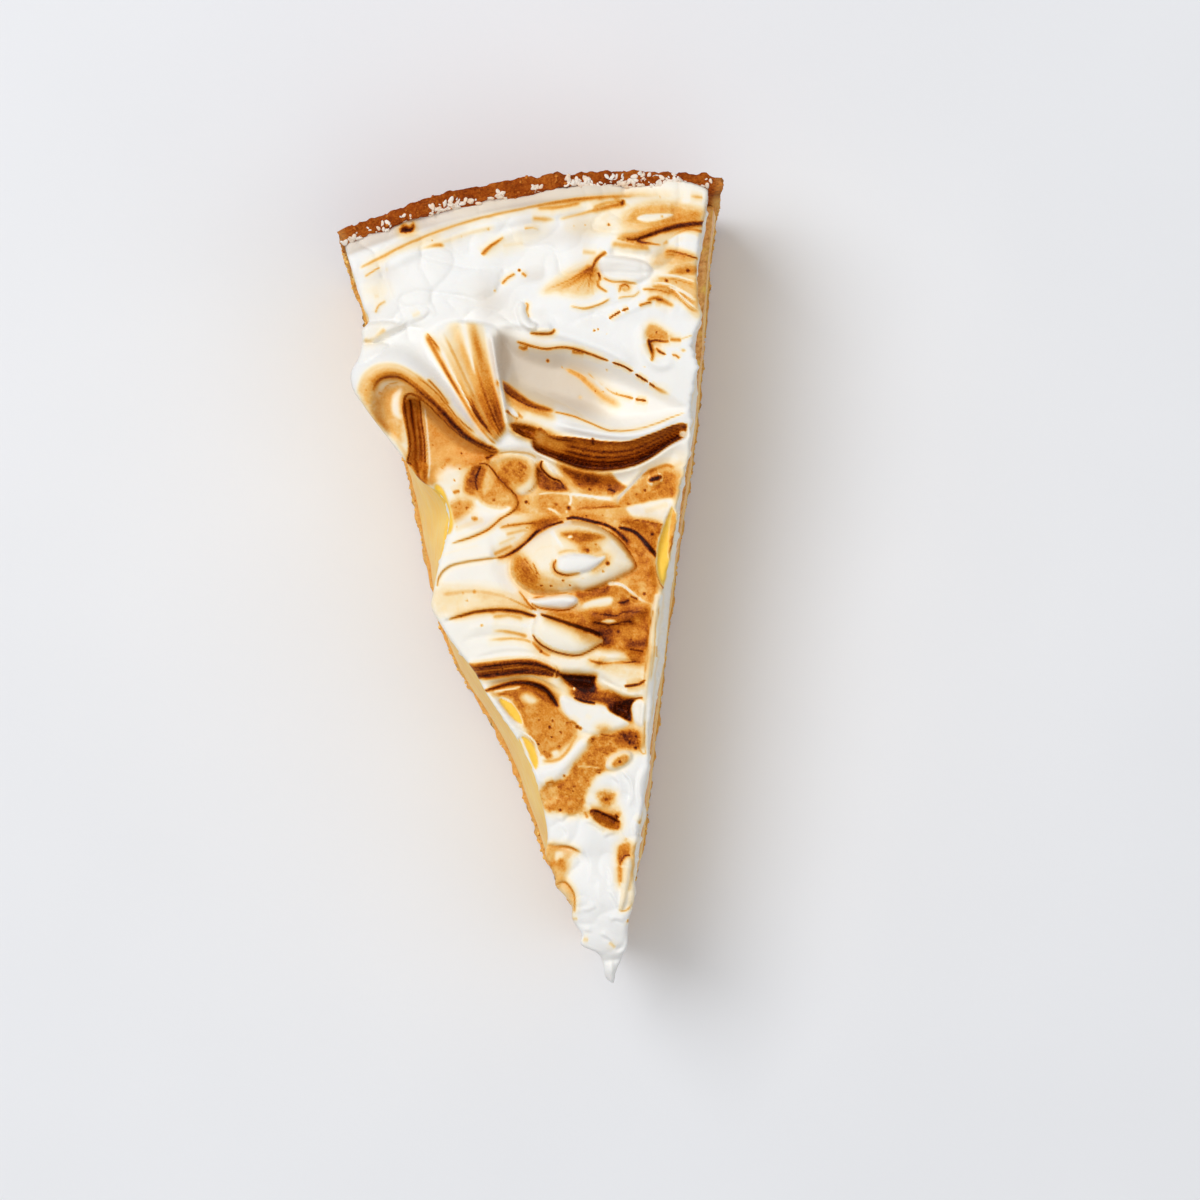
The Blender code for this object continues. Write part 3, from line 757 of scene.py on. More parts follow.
lobe([(10.3, 114.6), (11, 115.8), (13, 115.8), (16, 115.2), (18.2, 114), (18.8, 112.8), (17.6, 111.6),
    (15.5, 111.1), (13, 111.6), (11, 112.6)], 0.8, 1.4, 0.015, 0.3)
ridge([(12, 114.2), (15, 113.9), (17.8, 112.5)], 0.16, -0.18)
burn([(10.4, 112.8), (12, 111.8), (14, 111.5), (16.4, 110.9)], 0.17, (0.62, 0.42, 0.5))
burn([(13.1, 110), (13.5, 110.9), (14.3, 111), (14.7, 110.4), (14, 110.1)], 0.16, (0.4, 0.75, 0.8, 0.4),
    (0, 0))
patch(ellipse(14.1, 110.4, 0.6, 0.4), 0.36, 0.2)
for path, dark in (([(4.8, 108.7), (6.5, 108.1), (8, 108), (10, 108.4), (11.8, 109.2)], (0.3, 0.52, 0.5)),
        ([(12.6, 109), (14.5, 109.1), (15.6, 109.2), (16.6, 110)], 0.36),
        ([(16.6, 110.1), (19, 109.7), (21.6, 108.7)], 0.55),
        ([(15.9, 107.4), (17.2, 107.7), (18.2, 107.8)], 0.75),
        ([(-1, 121.8), (0.4, 121.7), (1.5, 121.2)], 0.62),
        ([(-5.5, 113.2), (-4.5, 114.1), (-3, 114.8)], 0.62),
        ([(-2.1, 114.7), (-1.7, 114.5), (-1.3, 114)], 0.6),
        ([(-26, 110.7), (-25.3, 112), (-24, 112.7)], 0.42), ([(-6.9, 112.4), (-6.4, 112.3)], 0.35),
        ([(11.5, 88.9), (12.6, 89.4), (14.5, 89.4)], 0.16)):
    burn(path, 0.17, dark, (0.12, 0.15))
    ridge(path, 0.5, 0.3, right=0.3)
burn([(17.4, 109.8), (19.5, 109.5), (21.4, 108.9)], 0.3, 0.3, right=1.5)
burn([(17, 108), (19, 108.3), (21.8, 106.6)], (0.3, 0.5, 0.5, 0.3), (0.4, 0.68, 0.55, 0.35))
burn([(18.8, 108.2), (19.8, 107.9)], 0.32, 0.85, (0, 0))
burn([(11, 105.9), (13, 106.9)], 0.15, 0.95, (0.05, 0.05), edge=4)
burn([(13.4, 107), (14.3, 107.2)], 0.17, 0.92, (0, 0.1), edge=4)
ridge([(10.4, 105.6), (16, 107.5), (20, 108.3), (22.4, 106)], 0.5, 0.35, left=0.4)
dots((8.5, 104.3, 0.17, 0.95), (9.1, 104.4, 0.17, 0.75), (-2.4, 115.2, 0.26, 0.9),
    (10.5, 103.5, 0.1, 0.3), (-5, 119, 0.12, 0.3))
patch([(-8, 118.6), (-3, 121.3), (1.5, 121.6), (2.4, 120.6), (-4, 118.2)], 0.07, 0.8)
burn([(-5, 119.4), (-1, 119.6)], 0.6, 0.13)
burn([(-8.1, 118.3), (-7, 119.3), (-4, 121)], (0.3, 0.22, 0.12), (0.62, 0.66, 0.5), (0.02, 0.2), right=1.8)
ridge([(-8.1, 118.3), (-5.6, 120.2), (-2, 121.6), (2, 121.2)], 0.45, 0.35, right=1.6)
burn([(-2.2, 109.9), (-1.6, 109.6), (-1.9, 108.4), (-1.6, 107.3)], 0.17, (0.35, 0.6, 0.35))
lobe([(-3.6, 109.2), (-2.3, 110), (-1.7, 107.2), (-0.4, 106.2), (-1.2, 105.2), (-3, 106.4)], 0.8, 0.8,
    0.01, 0.3)
burn([(-2, 105), (1, 104.5), (2, 104.8), (2.2, 105.4)], (0.14, 0.25, 0.25, 0.15), (0.7, 0.85, 0.85),
    (0.1, 0.1))
ridge([(-2.8, 106), (-0.5, 105.2), (2, 105.6)], 0.7, 0.6)
patch([(16.6, 102.2), (17.6, 104.4), (20.2, 102.6), (19.8, 101.6)], 0.42)
burn([(20.2, 101.6), (22.2, 101.2)], 0.35, 0.5)
burn([(16.9, 101.5), (18, 101.7), (19.6, 101.3), (20.3, 101.4)], 0.26, (0.95, 0.9, 0.6), (0, 0.1))
burn([(16.9, 101.7), (17.3, 99.2), (16.8, 98.3)], (0.38, 0.32, 0.12), (0.98, 0.9, 0.6), (0, 0.1), left=1.4)
burn([(17.9, 100.7), (18.5, 99.8), (19.4, 99.2)], (0.12, 0.24, 0.16), (0.5, 0.88, 0.85), (0.1, 0.05))
burn([(20.3, 99), (21, 98.9), (21.6, 98.3)], 0.18, 0.62)
burn([(20, 102), (22, 101.5), (24, 101.9)], 0.1, 0.3)
dots((18.3, 102.9, 0.25, 0.85), (19.9, 102.5, 0.2, 0.6), (22.1, 99.6, 0.3, 0.35), (15.8, 97.6, 0.12, 0.5))
ridge([(16, 104.8), (16, 100), (18, 97.6), (21, 98)], 0.8, 0.5)
ridge([(17.4, 101), (18.6, 100.2)], 0.7, -0.7)

# Pale smears in the upper left, with hardly a mark of the flame.
lobe([(-23, 119.2), (-18, 120.4), (-13.6, 119.8), (-12.7, 118), (-13.8, 115.8), (-16.3, 113.6),
    (-16.9, 111.8), (-16.3, 109.4), (-19, 110.8), (-22.5, 112.5), (-23.4, 116)], 0.28, 1.6, 0.005, 0.1,
    0.6)
lobe(ellipse(-20.2, 109.9, 2.9, 1.2, 10), 0.4, 0.9, 0.005, 0.14)
burn([(-20.2, 109.6), (-18.8, 110.2)], 0.5, 0.12)
patch(ellipse(-25.3, 114.3, 2, 1.7), 0.09, 1.2)
burn([(-26, 113.5), (-25, 113.6)], 0.5, 0.15)
lobe([(-28.6, 108.8), (-27, 109.4), (-24, 109.3), (-21.6, 108.4), (-23, 107.4), (-26, 106.4),
    (-28.6, 106.6)], 1.3, 1, 0.03, 0.45)
lobe([(-30, 103.6), (-29.4, 105.4), (-27.4, 106.2), (-24.5, 105.6), (-26, 104.2), (-28.4, 103.2)], 0.5,
    0.9, 0.01, 0.3)
burn([(-28.3, 107.2), (-27.4, 106.5), (-24.4, 108.2)], 0.45, (0.3, 0.12, 0.32))
ridge([(-27, 106), (-22, 108), (-18.6, 107.6)], 0.35, -0.8)

# The big hook at the left: a thick roll that stands over the cut side and curls round a hollow.
ridge([(-26.8, 88.5), (-28.8, 94.5), (-27.8, 100), (-24, 101.6), (-20.5, 99.2), (-13.4, 90.2),
    (-9.4, 87.6)], (2, 3, 3.4, 3.2, 2.6, 1.4), (1.5, 3.4, 4.2, 4, 2.8, 1), (0.1, 0.1), right=0.8,
    edge=2.6)
ridge([(-25, 90), (-26.8, 95.5), (-25, 98.6), (-22, 98.9)], 1.2, -0.7)
sweep([(-30.6, 97.6), (-30.3, 99.6), (-29, 101.8), (-26.6, 103), (-23.6, 102.8), (-20.8, 101.2),
    (-18, 98.4), (-13.2, 91.4), (-10.2, 88.4)], [(-27.2, 94.4), (-27.2, 97.6), (-26.2, 99.4),
    (-24.4, 99.8), (-22.4, 99), (-18, 94.4), (-13.4, 88.7), (-9.2, 86.8)], (0, 0, 0), 0.1,
    ((0, 0.1, 0.03), (0.25, 0.12, (0.26, 0.24, 0.22, 0.12, 0.1)),
    (0.45, 0.14, (0.24, 0.27, 0.36, 0.4, 0.4)), (0.66, 0.12, (0.34, 0.44, 0.56, 0.74, 0.8)),
    (0.84, 0.1, (0.42, 0.78, 0.82, 0.95, 1)), (0.97, 0.06, (0.3, 0.46, 0.5, 0.7, 0.7))), 0.12, 9,
    (0.04, 0), 0.5)
burn([(-28.3, 97.6), (-27.2, 100), (-23.8, 100.4), (-20.3, 98.2), (-13.9, 89.9), (-9.2, 86.9)],
    (0.16, 0.18, 0.2, 0.3, 0.5, 0.7, 0.7, 0.5, 0.25), (0.4, 0.5, 0.56, 0.62, 0.8, 0.95, 1, 0.95, 0.8),
    (0.05, 0.02), glow=0.2)
patch([(-29.4, 97.5), (-27.6, 99.8), (-25.6, 92.6), (-27.4, 93)], 0.36, 0.7, 0.3, cover=False)
for offset, dark in ((0.9, 0.62), (-0.75, 0.42)):
    burn([(-22 + offset, 99.8 + offset * 0.8), (-18.6 + offset, 96.6 + offset * 0.6),
        (-15.4 + offset, 92 + offset * 0.5), (-12.5 + offset, 88.6 + offset)], 0.16, dark)
patch([(-26.6, 93.4), (-26.4, 97.4), (-25, 98.9), (-22.4, 98.9), (-20.8, 97.6), (-23, 97.4), (-24, 90)],
    0.33, 0.6, 0.3)
patch([(-25, 95), (-24.6, 97.6), (-23.2, 98.3), (-23.6, 96), (-23.8, 93.6)], 0.08)
burn([(-25.6, 93.8), (-25.4, 96), (-24.8, 97.6), (-23.2, 98.7)], 0.14, 0.36)
burn([(-26.6, 95.2), (-26.4, 97.6), (-25, 99.2), (-22.4, 99.3)], 0.13, 0.4)
burn([(-28.3, 93.2), (-26.6, 93.2), (-24, 88.6), (-23.6, 86.6)], 0.5, 0.22)
burn([(-19, 99.6), (-17.4, 97.6), (-15.6, 94.6)], 0.2, 0.62)
dots((-28.1, 97.7, 0.2, 0.05), (-26.6, 98, 0.2, 0.55), (-28.6, 98.6, 0.2, 0.6))

# The hollow under the hook: a striped fold at its left and a smooth tan floor.
hollow = [(-23.1, 95.8), (-22.6, 97.3), (-21.4, 97), (-19.4, 95.6), (-14.8, 90.2), (-12.6, 88.5),
    (-9, 86.4), (-10.5, 85.6), (-14, 84.8), (-18, 83.8), (-19.6, 82.6), (-22.2, 82.8), (-22.6, 84.6),
    (-23.7, 86.6), (-23, 89)]
near, depth = within(hollow, 0.5)
height[near] -= 3.6 * ease((depth + 0.3) / 2.0) * ease((top_y[near] - 81.5) / 7)
patch(hollow, 0.36, 0.35, 0.15)
patch([(-19.6, 95.6), (-16, 91), (-16.5, 89.6), (-19.6, 90)], 0.42, 0.8, 0.1)
patch([(-19.2, 84), (-17.5, 85.4), (-15.5, 84.6), (-16, 82.6), (-18.6, 82.2)], 0.1, 0.9)
patch([(-14.6, 88.9), (-12, 87.6), (-9.2, 86.4), (-11, 85.4), (-14, 86)], 0.42, 0.6, 0.3)
sweep([(-23.1, 96), (-23, 89.5), (-23.7, 86.7), (-23.2, 86.2)],
    [(-20, 96), (-20.2, 93), (-20.1, 89), (-20.7, 83)], (0.2, 0.5, -0.3, 0.5, 0.1), 0.5,
    ((0.06, 0.06, 0.95), (0.2, 0.07, 0.55), (0.36, 0.07, (0.98, 0.85, 0.62)), (0.5, 0.05, 0.55),
    (0.66, 0.12, (0.6, 0.74, 0.66)), (0.86, 0.05, 0.86), (0.95, 0.04, 0.3)), 0.12, 14)
burn([(-23.2, 94), (-22.9, 96.6), (-22, 97.4), (-20.8, 97), (-19.5, 96)], 0.22, (0.8, 0.9, 0.6), (0, 0.1))
sweep([(-22.4, 86.4), (-22.1, 83)], [(-20.4, 86), (-20.8, 83)], 0, 0.56,
    ((0.1, 0.12, 0.75), (0.75, 0.1, 0.62)), 0.1)
wipe([(-19.8, 95.4), (-20, 87), (-20.6, 83.2)], (0.08, 0.14, 0.18, 0.2), 0.12)
burn([(-19.5, 86), (-19.8, 83)], 0.5, 0.38)
burn([(-22.4, 97.5), (-20.8, 96.8), (-19, 95.1), (-15, 90.3), (-10.6, 87.1), (-8.9, 86.6)], 0.2,
    (0.75, 0.85, 0.9, 0.8), (0.05, 0))
burn([(-11.1, 85.9), (-9, 86.6)], (0.3, 0.34, 0.15), (0.98, 0.95, 0.5), (0.05, 0))
burn([(-18.3, 84.9), (-16.7, 86.8)], 0.13, 0.55)
burn([(-18.2, 90.3), (-19.6, 92.3)], 0.1, 0.4)
dots((-19.3, 88.9, 0.17, 0.85), (-14.8, 87.2, 0.18, 0.9), (-15.3, 84.7, 0.18, 0.85),
    (-16.4, 83, 0.18, 0.6), (-16.2, 85.3, 0.15, 0.5), (-14.2, 85.8, 0.14, 0.5), (-21.9, 93.2, 0.2, 0.15),
    (-12.9, 87.3, 0.14, 0.6))

# The fan between the hook and the scoop: long folds that run together towards the point.
sweep([(-18.6, 107.2), (-13.2, 94.4), (-10.6, 89.6), (-8.8, 87.6)],
    [(-7.4, 106.5), (-7.3, 100), (-6.7, 91.4), (-6.2, 88.6)], (0.3, 1.9, 1.2, 2, 1.3, 0.9), 0.03,
    ((0, 0.05, (0.5, 0.8, 0.85, 0.8)), (0.22, 0.13, (0, 0.2, 0.3, 0.4)),
    (0.43, 0.1, (0.1, 0.32, 0.4, 0.62, 0.6)), (0.68, 0.12, (0.08, 0.42, 0.46, 0.62, 0.75)),
    (0.55, 0.04, (0, 0.15, 0.45, 0.75, 0.9)), (0.8, 0.05, (0, 0.2, 0.5, 0.75, 0.6)),
    (0.93, 0.08, (0, 0, 0.02, 0.05))), 0.16, 16, (0.08, 0.06), 0.5)
burn([(-18.3, 107), (-16, 103), (-12, 93.5), (-8.8, 88.3)], (0.16, 0.2, 0.28, 0.3, 0.22),
    (0.6, 0.82, 0.88, 0.95, 0.7), (0.03, 0.1))
burn([(-15.8, 107.6), (-11, 93.4)], (0.25, 0.4, 0.5, 0.5), (0.2, 0.4, 0.36, 0.5), (0.25, 0.2))
burn([(-11, 107), (-9.5, 94)], (0.2, 0.35, 0.45, 0.7), (0.24, 0.42, 0.48, 0.7), (0.15, 0.1))
burn([(-12.6, 96.4), (-11.4, 92.8), (-9.8, 89.9)], (0.2, 0.5, 0.4), (0.6, 0.88, 0.9))
burn([(-8.8, 95.5), (-8.4, 91)], (0.4, 0.55, 0.3), (0.5, 0.88, 0.7))
wipe([(-16.7, 105), (-11.8, 92.4)], (0.5, 0.35, 0.2, 0.1), 0.03, (0.15, 0.2), edge=2)
wipe([(-12.2, 107), (-11.1, 98.6)], (0.4, 0.3, 0.1), 0.06, (0.1, 0.3), edge=2)

# The scoop: one deep spoon mark, walled at its left and top, that rises to a thin lip over the striped face.
scoop = [(-7.2, 104.2), (-5.5, 105.2), (-2.5, 103.2), (1, 102.1), (4.5, 101.9), (12, 98.3), (19.6, 92.4),
    (21.2, 90.2), (17, 88.6), (12, 87.9), (8.6, 88.6), (5.5, 90.2), (-3, 94), (-6.6, 97)]
near, depth = within(scoop, 0.6)
sunk = through(((-9, 2.6), (-4, 3.4), (2, 4.8), (7, 5.2), (12, 3.8), (17, 1.9), (22, 0.7)), top_x[near])
height[near] -= sunk * ease((depth + 0.5) / (1.4 + 0.5 * sunk))
patch(scoop, 0.02, 0.5, 0.3)
# Painted shade: the upper-left of the scoop is greyed and given a faint tan, standing in for the shadow its
# left and top walls cast.
paint_shade([(-7.4, 104.4), (-5.4, 105), (-2.4, 103.2), (2.4, 101.8), (6.4, 99), (9, 95), (8, 92), (4, 91),
    (-5, 96), (-7.2, 99)], 0.75, 2.6)
paint_shade([(-7.4, 104.6), (-5.6, 105), (-4.6, 101), (-7.4, 96.6)], 1, 1.4)
patch([(-7.4, 99), (-7.2, 104.4), (-5, 105.2), (2, 101.6), (6, 97), (2, 94.4), (-3, 95)], 0.05, 2.2,
    cover=False)
ridge([(-8, 106.3), (-3, 106.4), (8, 102), (15, 97.6)], 1.4, 0.7, right=0.5)
burn([(-4.4, 104), (0, 102.3), (3, 102.2), (5.5, 101.5), (10.3, 99.2)], (0.25, 0.2, 0.2, 0.22, 0.16),
    (0.7, 0.8, 0.8, 0.88, 0.85), (0.05, 0.02))
burn([(10.8, 98.9), (12.4, 98.2), (13.9, 97.1)], 0.14, 0.92, (0.02, 0.02), edge=4)
burn([(14.4, 96.6), (16, 95.3)], 0.16, 0.95, (0, 0), edge=4)
burn([(16.4, 94.9), (17.2, 94.2)], 0.17, 0.9, (0, 0.2), edge=4)
burn([(17, 94.3), (19.6, 92.6)], (0.2, 0.4, 0.2), (0.6, 0.36, 0.2), (0, 0.4))
burn([(-4, 103.2), (-3.1, 102.7), (-2.3, 102.8)], 0.34, (0.4, 0.72, 0.6))
burn([(4.4, 101.4), (6.6, 100.8)], 0.3, 0.6)
burn([(2.4, 99.4), (5.4, 97.4), (9, 93.6), (12.2, 91.6)], (0.3, 0.5, 0.65, 0.9, 0.8, 0.4),
    (0.26, 0.38, 0.4, 0.34, 0.28), (0.1, 0.2))
burn([(6.6, 98), (9, 95.3)], 0.16, 0.36)
burn([(3.4, 98.9), (5.2, 97.9), (6.6, 96.7)], 0.2, 0.45)
wipe([(7.4, 97.5), (8.6, 95.4), (10.6, 93.8), (13, 92.8)], 0.3, 0.03, (0.2, 0.2), edge=2)
burn([(9, 95.4), (10.4, 94.2), (13.6, 92.9)], (0.12, 0.14, 0.2), (0.3, 0.45, 0.75), (0.1, 0.02))
burn([(14, 92.7), (15.6, 92.3)], 0.17, 0.88, (0, 0.1), edge=4)
burn([(13.6, 92.7), (16, 92)], 0.5, 0.2)
burn([(-7.3, 97.6), (-3, 93.8), (1.2, 92)], (0.9, 0.8, 0.6, 0.4), (0.8, 0.74, 0.72, 0.6), (0, 0.15),
    right=1.1, left=0.8)
burn([(-7.2, 96), (-5, 93.8), (1.5, 91)], 0.9, 0.36, (0, 0.2))
burn([(-7.2, 97), (-5.6, 95.2), (-3, 93.4), (0, 92.2)], 0.22, 0.95, (0, 0.3))
burn([(1, 92), (4, 90.9), (8.4, 88.5), (10.2, 88), (13, 87.9), (16, 88.3), (21.2, 89.7)],
    (0.2, 0.13, 0.1, 0.1), (0.62, 0.55, 0.42, 0.45), (0, 0.03))
ridge([(-3, 96.3), (3, 92.7), (6, 90.2)], 0.14, -0.16)
burn([(-3, 96.3), (3, 92.7), (6, 90.2)], 0.1, 0.14)
dots((0.55, 100.4, 0.32, 0.8), (7.6, 94.9, 0.22, 0.75), (8.8, 94.6, 0.2, 0.5), (5.1, 94.1, 0.45, 0.3),
    (2.7, 99.2, 0.2, 0.5), (6.4, 96.5, 0.15, 0.5), (9.8, 97.9, 0.2, 0.35), (10.9, 94.2, 0.14, 0.5))
ridge([(0, 90.2), (12, 87), (21, 89)], 0.8, 1.1, left=0.9, right=0.9)
patch([(0.4, 89.2), (4, 89.6), (7.4, 88.2), (13, 87.4), (18, 88.4), (20.8, 89.2), (20.6, 88.2),
    (16, 87.2), (12, 86.3), (4, 87.8)], 0.01, 0.2, 0)
wipe([(-7.4, 105.2), (-7.5, 101), (-6.9, 93), (-6.4, 90.5), (-5.4, 89), (-3.8, 88), (-2.3, 87.8)],
    (0.4, 0.35, 0.3, 0.35), 0.02, (0.05, 0.05))
ridge([(-8, 106), (-6.9, 92), (-6, 89.6), (-3.8, 88)], 0.6, 1.5, (0.1, 0.1))
burn([(-6.6, 94), (-4.2, 91.4)], 0.3, (0.5, 0.4, 0.6, 0.3))
burn([(-6.7, 92.9), (-5, 91.6)], (0.3, 0.2, 0.1), 0.92, (0, 0.2))
lobe([(-6.6, 93.8), (-5.8, 93.4), (-5, 92.2), (-5.4, 91.8), (-6.3, 92.6)], 0.3, 0.4, 0.03, 0.1)
patch([(-6.3, 91), (-3, 90.1), (-2.1, 89.3), (-2.3, 88.5), (-3.3, 88.3), (-6, 89.8)], 0.74, 0.3, 0.25, 0.7)
ridge([(-6, 90.2), (-2.6, 89)], 0.8, -1.4)
burn([(-6.2, 90.4), (-5.6, 89.5), (-3.2, 88.3), (-2.2, 88.7)], 0.2, 0.95, (0.1, 0.1))
burn([(-6.2, 91), (-4.6, 90.7), (-2.8, 90), (-1.6, 89.2)], 0.2, 0.55)

# The striped face under the lip: a broad fold torched dark brown.
upper = [(-2.1, 89.8), (0, 88.4), (4, 87.6), (8, 86.6), (12, 86.2), (16, 87), (20.6, 88.1)]
lower = [(-3.2, 86.8), (0, 84.7), (4, 82.7), (8, 81.9), (12, 82.1), (15, 83), (18, 84.6), (20.8, 86.1)]
sweep(upper, lower, (0.6, -0.5, -1.1, -1.6, -2.4, -2.8), 0.72, ((0.02, 0.05, 0.9), (0.12, 0.06, 0.68),
    (0.25, 0.05, (0.5, 0.66, 0.7)), (0.36, 0.03, 0.88), (0.45, 0.05, (0.5, 0.66, 0.68)),
    (0.56, 0.035, 0.92), (0.64, 0.03, (0.55, 0.7, 0.7)), (0.72, 0.04, 0.95),
    (0.83, 0.07, (0.8, 0.98, 0.95)), (0.95, 0.05, 0.93)), 0.1, 22, (0, 0), 0.12)
patch([(-2, 89.4), (2, 87), (1, 85.6), (-2.8, 87.2)], 0.46, 0.9, 0.15)
burn([(-1.6, 89.2), (0, 88), (2.4, 87.3), (4, 87.4)], (0.4, 0.25), (0.5, 0.95, 0.9))
burn([(-2.8, 86.9), (3, 83.7), (6, 83)], 0.5, 0.92, (0.1, 0.3))
burn([(6.35, 87.1), (6.35, 86.3)], 0.25, 0.98, (0, 0), edge=4)
burn([(4.6, 86.6), (6, 85.9), (8, 85.6)], 0.3, 0.42)
dots((5.1, 83.1, 0.17, 0.2), (10, 84.2, 0.15, 0.3), (15.4, 84.8, 0.15, 0.3), (4.5, 85.3, 0.2, 0.95))
lobe(ellipse(20.6, 86.4, 0.5, 0.55), 0.5, 0.4, 0.14, 0.1)
wipe([(-9.2, 86.6), (-5, 86.3), (-2.8, 85.9), (0, 84.1), (4, 82.2), (8, 81.5), (12, 81.7), (15, 82.6),
    (18, 84.2)], (0.15, 0.2, 0.22, 0.2, 0.12), 0.07, (0.05, 0.1))
ridge([(-5, 86.3), (-2.8, 85.9), (0, 84.1), (4, 82.2), (8, 81.5), (12, 81.7), (18, 84.2)], 0.35, 0.35)

# Below the striped face: a jumble of small lobes, hollows and pools of scorched foam.
level([(-20, 84), (-16, 85.4), (-4, 86), (3, 82.2), (8, 81), (14, 81.6), (19.4, 84), (19.2, 78),
    (17.6, 73.6), (11, 75), (4, 75.6), (-7, 75), (-17, 77), (-19.4, 80)], -1.9, 1.6)
patch([(0.4, 83.9), (3, 82.4), (10, 80.9), (11.3, 79.6), (9.4, 78.4), (3.6, 79.2)], 0.55, 0.7, 0.3, 1.2)
patch([(1.5, 82.9), (6.4, 80.8), (5.6, 80), (3.6, 80.8)], 0.82, 0.5, 0.2, 1)
patch([(7, 80.2), (10.2, 79.4), (9.6, 78.8), (8, 79)], 0.66, 0.5, 0.3, 0.8)
patch([(9, 81.3), (12, 81.6), (15.5, 82.8), (18.6, 84.2), (19.3, 82), (16.5, 81.2), (11.6, 78.9)], 0.06)
burn([(13, 80.4), (17.6, 81.7), (18.9, 80.6)], 0.4, 0.5)
patch([(9.6, 77), (14.4, 80.6), (18.8, 80.5), (17.6, 76.6), (14, 76.1), (11, 75.8)], 0.46, 0.5, 0.4, 0.9)
patch([(16.2, 78.9), (17.6, 79.6), (18.4, 78.4), (17.6, 76.8)], 0.62, 0.6, 0.4, 0.9)
wipe([(9.2, 75.6), (9.4, 77.2), (11, 78.6), (14.8, 81.8)], (0.3, 0.3, 0.25, 0.2), 0.04)
fold([(9.2, 75.6), (9.4, 77.2), (11, 78.6), (14.8, 81.8)], 0.7, 0.8)
lobe(ellipse(15.6, 79.7, 1.35, 1, 20), 0.45, 0.5, 0.14, 0.15)
burn([(14.9, 79.6), (16.4, 79.9)], 0.5, 1, (0, 0), edge=4, glow=0.6)
burn([(7.8, 78.9), (8.5, 78.7), (9.2, 78.2)], 0.24, 0.98, (0.05, 0.05), edge=3, glow=0.5)
dots((13.8, 78.1, 0.3, 0.9), (12.4, 77.6, 0.3, 0.7), (10.9, 76.2, 0.3, 0.75), (16.7, 77.2, 0.25, 0.6),
    (15.1, 77.1, 0.2, 0.5), (5, 79.2, 0.35, 0.85), (3.4, 80.3, 0.3, 0.9), (12, 76.8, 0.2, 0.5))
patch([(-7, 79.6), (-3, 79.4), (1, 79.2), (3, 78.2), (8.8, 76.9), (8.6, 76.1), (3, 76.4), (0, 75.6),
    (-7.2, 76.8)], 0.34, 0.6, 0.5, 1.1)
patch([(-3, 78.6), (0.4, 77.6), (-0.6, 76.6), (-2.6, 76.9)], 0.5, 0.6, 0.4, 0.8)
wipe([(-3.4, 79.3), (0, 79.2), (9, 77.1)], (0.2, 0.25, 0.3), 0.04, (0.05, 0.1))
wipe([(1.3, 79.4), (1.9, 78), (0.8, 75.8)], (0.15, 0.2, 0.3), 0.05, (0.1, 0.05))
wipe([(-2.2, 76.9), (-1, 76.4), (0.6, 74.5)], (0.15, 0.4), 0.1, (0.1, 0))
dots((-5.3, 78.3, 0.36, 0.95), (-0.6, 77.4, 0.5, 0.72), (1.35, 76.6, 0.45, 0.88), (6.6, 78.4, 0.2, 0.6),
    (-4.9, 78, 0.2, 0.6), (-2.2, 76.7, 0.25, 0.45), (3.3, 77.3, 0.15, 0.5))
burn([(2, 76.2), (4.5, 76.3), (10.6, 75.9)], (0.14, 0.2, 0.22, 0.3), (0.62, 0.7, 0.72, 0.5), glow=0.45,
    right=1.3)
patch([(1.2, 75.8), (10.8, 75.6), (12.4, 74.6), (9, 73.6)], 0.36, 0.5, 0.35)
dots((4, 75, 0.2, 0.8), (6.6, 74.8, 0.15, 0.6))
patch([(10.6, 75.6), (13, 76), (17.9, 76.3), (16.3, 73), (14, 73.7), (11.6, 73.9)], 0.05, 0.35, 0.3)
burn([(13, 74.6), (17.6, 75.6)], 0.7, 0.14)

# The round lobe that hangs under the meeting point of the fan, and the smears left of it.
lobe([(-10.3, 85.6), (-8, 86.2), (-5.5, 85.8), (-3.7, 84.9), (-2.8, 83.3), (-3, 81.5), (-4, 80.1),
    (-6, 79.5), (-8, 80.4), (-9.6, 82.6)], 0.8, 1.8, 0.12, 0.35)
patch(ellipse(-7.6, 83, 2.5, 2.2, 20), 0.48, 0.9, 0.5, 0.9)
patch(ellipse(-5.9, 83.4, 1.5, 1.6), 0.56, 0.8, 0.5, 0.7)
burn([(-9.4, 86.4), (-7, 86.5), (-4, 85.9), (-2.6, 84.8)], 0.2, 0.34)
patch([(-3, 83.6), (-1.2, 81.6), (0.5, 80.7), (1.4, 79.4), (-2.9, 80.3)], 0.72, 0.3, 0.25, 0.9)
lobe([(-2.3, 84.5), (-1.6, 84.5), (-0.5, 83.3), (0.2, 81.9), (0.6, 81.1), (-0.2, 81.1), (-2.3, 83.3)],
    0.5, 0.6, 0.07, 0.2)
burn([(-2, 84.7), (-2.4, 83.8), (-1.9, 82.7), (-0.8, 81.6), (0.4, 81), (1.2, 79.6)], 0.2, 0.98,
    (0.02, 0.05), glow=0.5)
burn([(-2.1, 84.7), (-3, 83.4), (-3.2, 82), (-4, 80.4), (-5.6, 79.6)], 0.13, 0.4)
patch([(-13, 83), (-11.4, 84.7), (-9, 81.6), (-7, 78.4), (-9.6, 77.9), (-12, 78.8), (-13.2, 80.6)], 0.42,
    0.6, 0.5, 0.9)
patch([(-15, 81.2), (-14.6, 83.2), (-13.2, 84.8), (-12, 85), (-12.6, 83.2), (-13, 80.9), (-14, 80.4)],
    0.62, 0.4, 0.4, 0.7)
patch([(-9.6, 86), (-8.6, 86.2), (-9, 84), (-11, 80.8), (-12, 80.2), (-11.8, 82.6)], 0.32, 0.4, 0.3)
burn([(-12.9, 80.9), (-13, 82.6), (-11.9, 85)], (0.2, 0.34, 0.3), 0.97, (0.05, 0.05), glow=0.5)
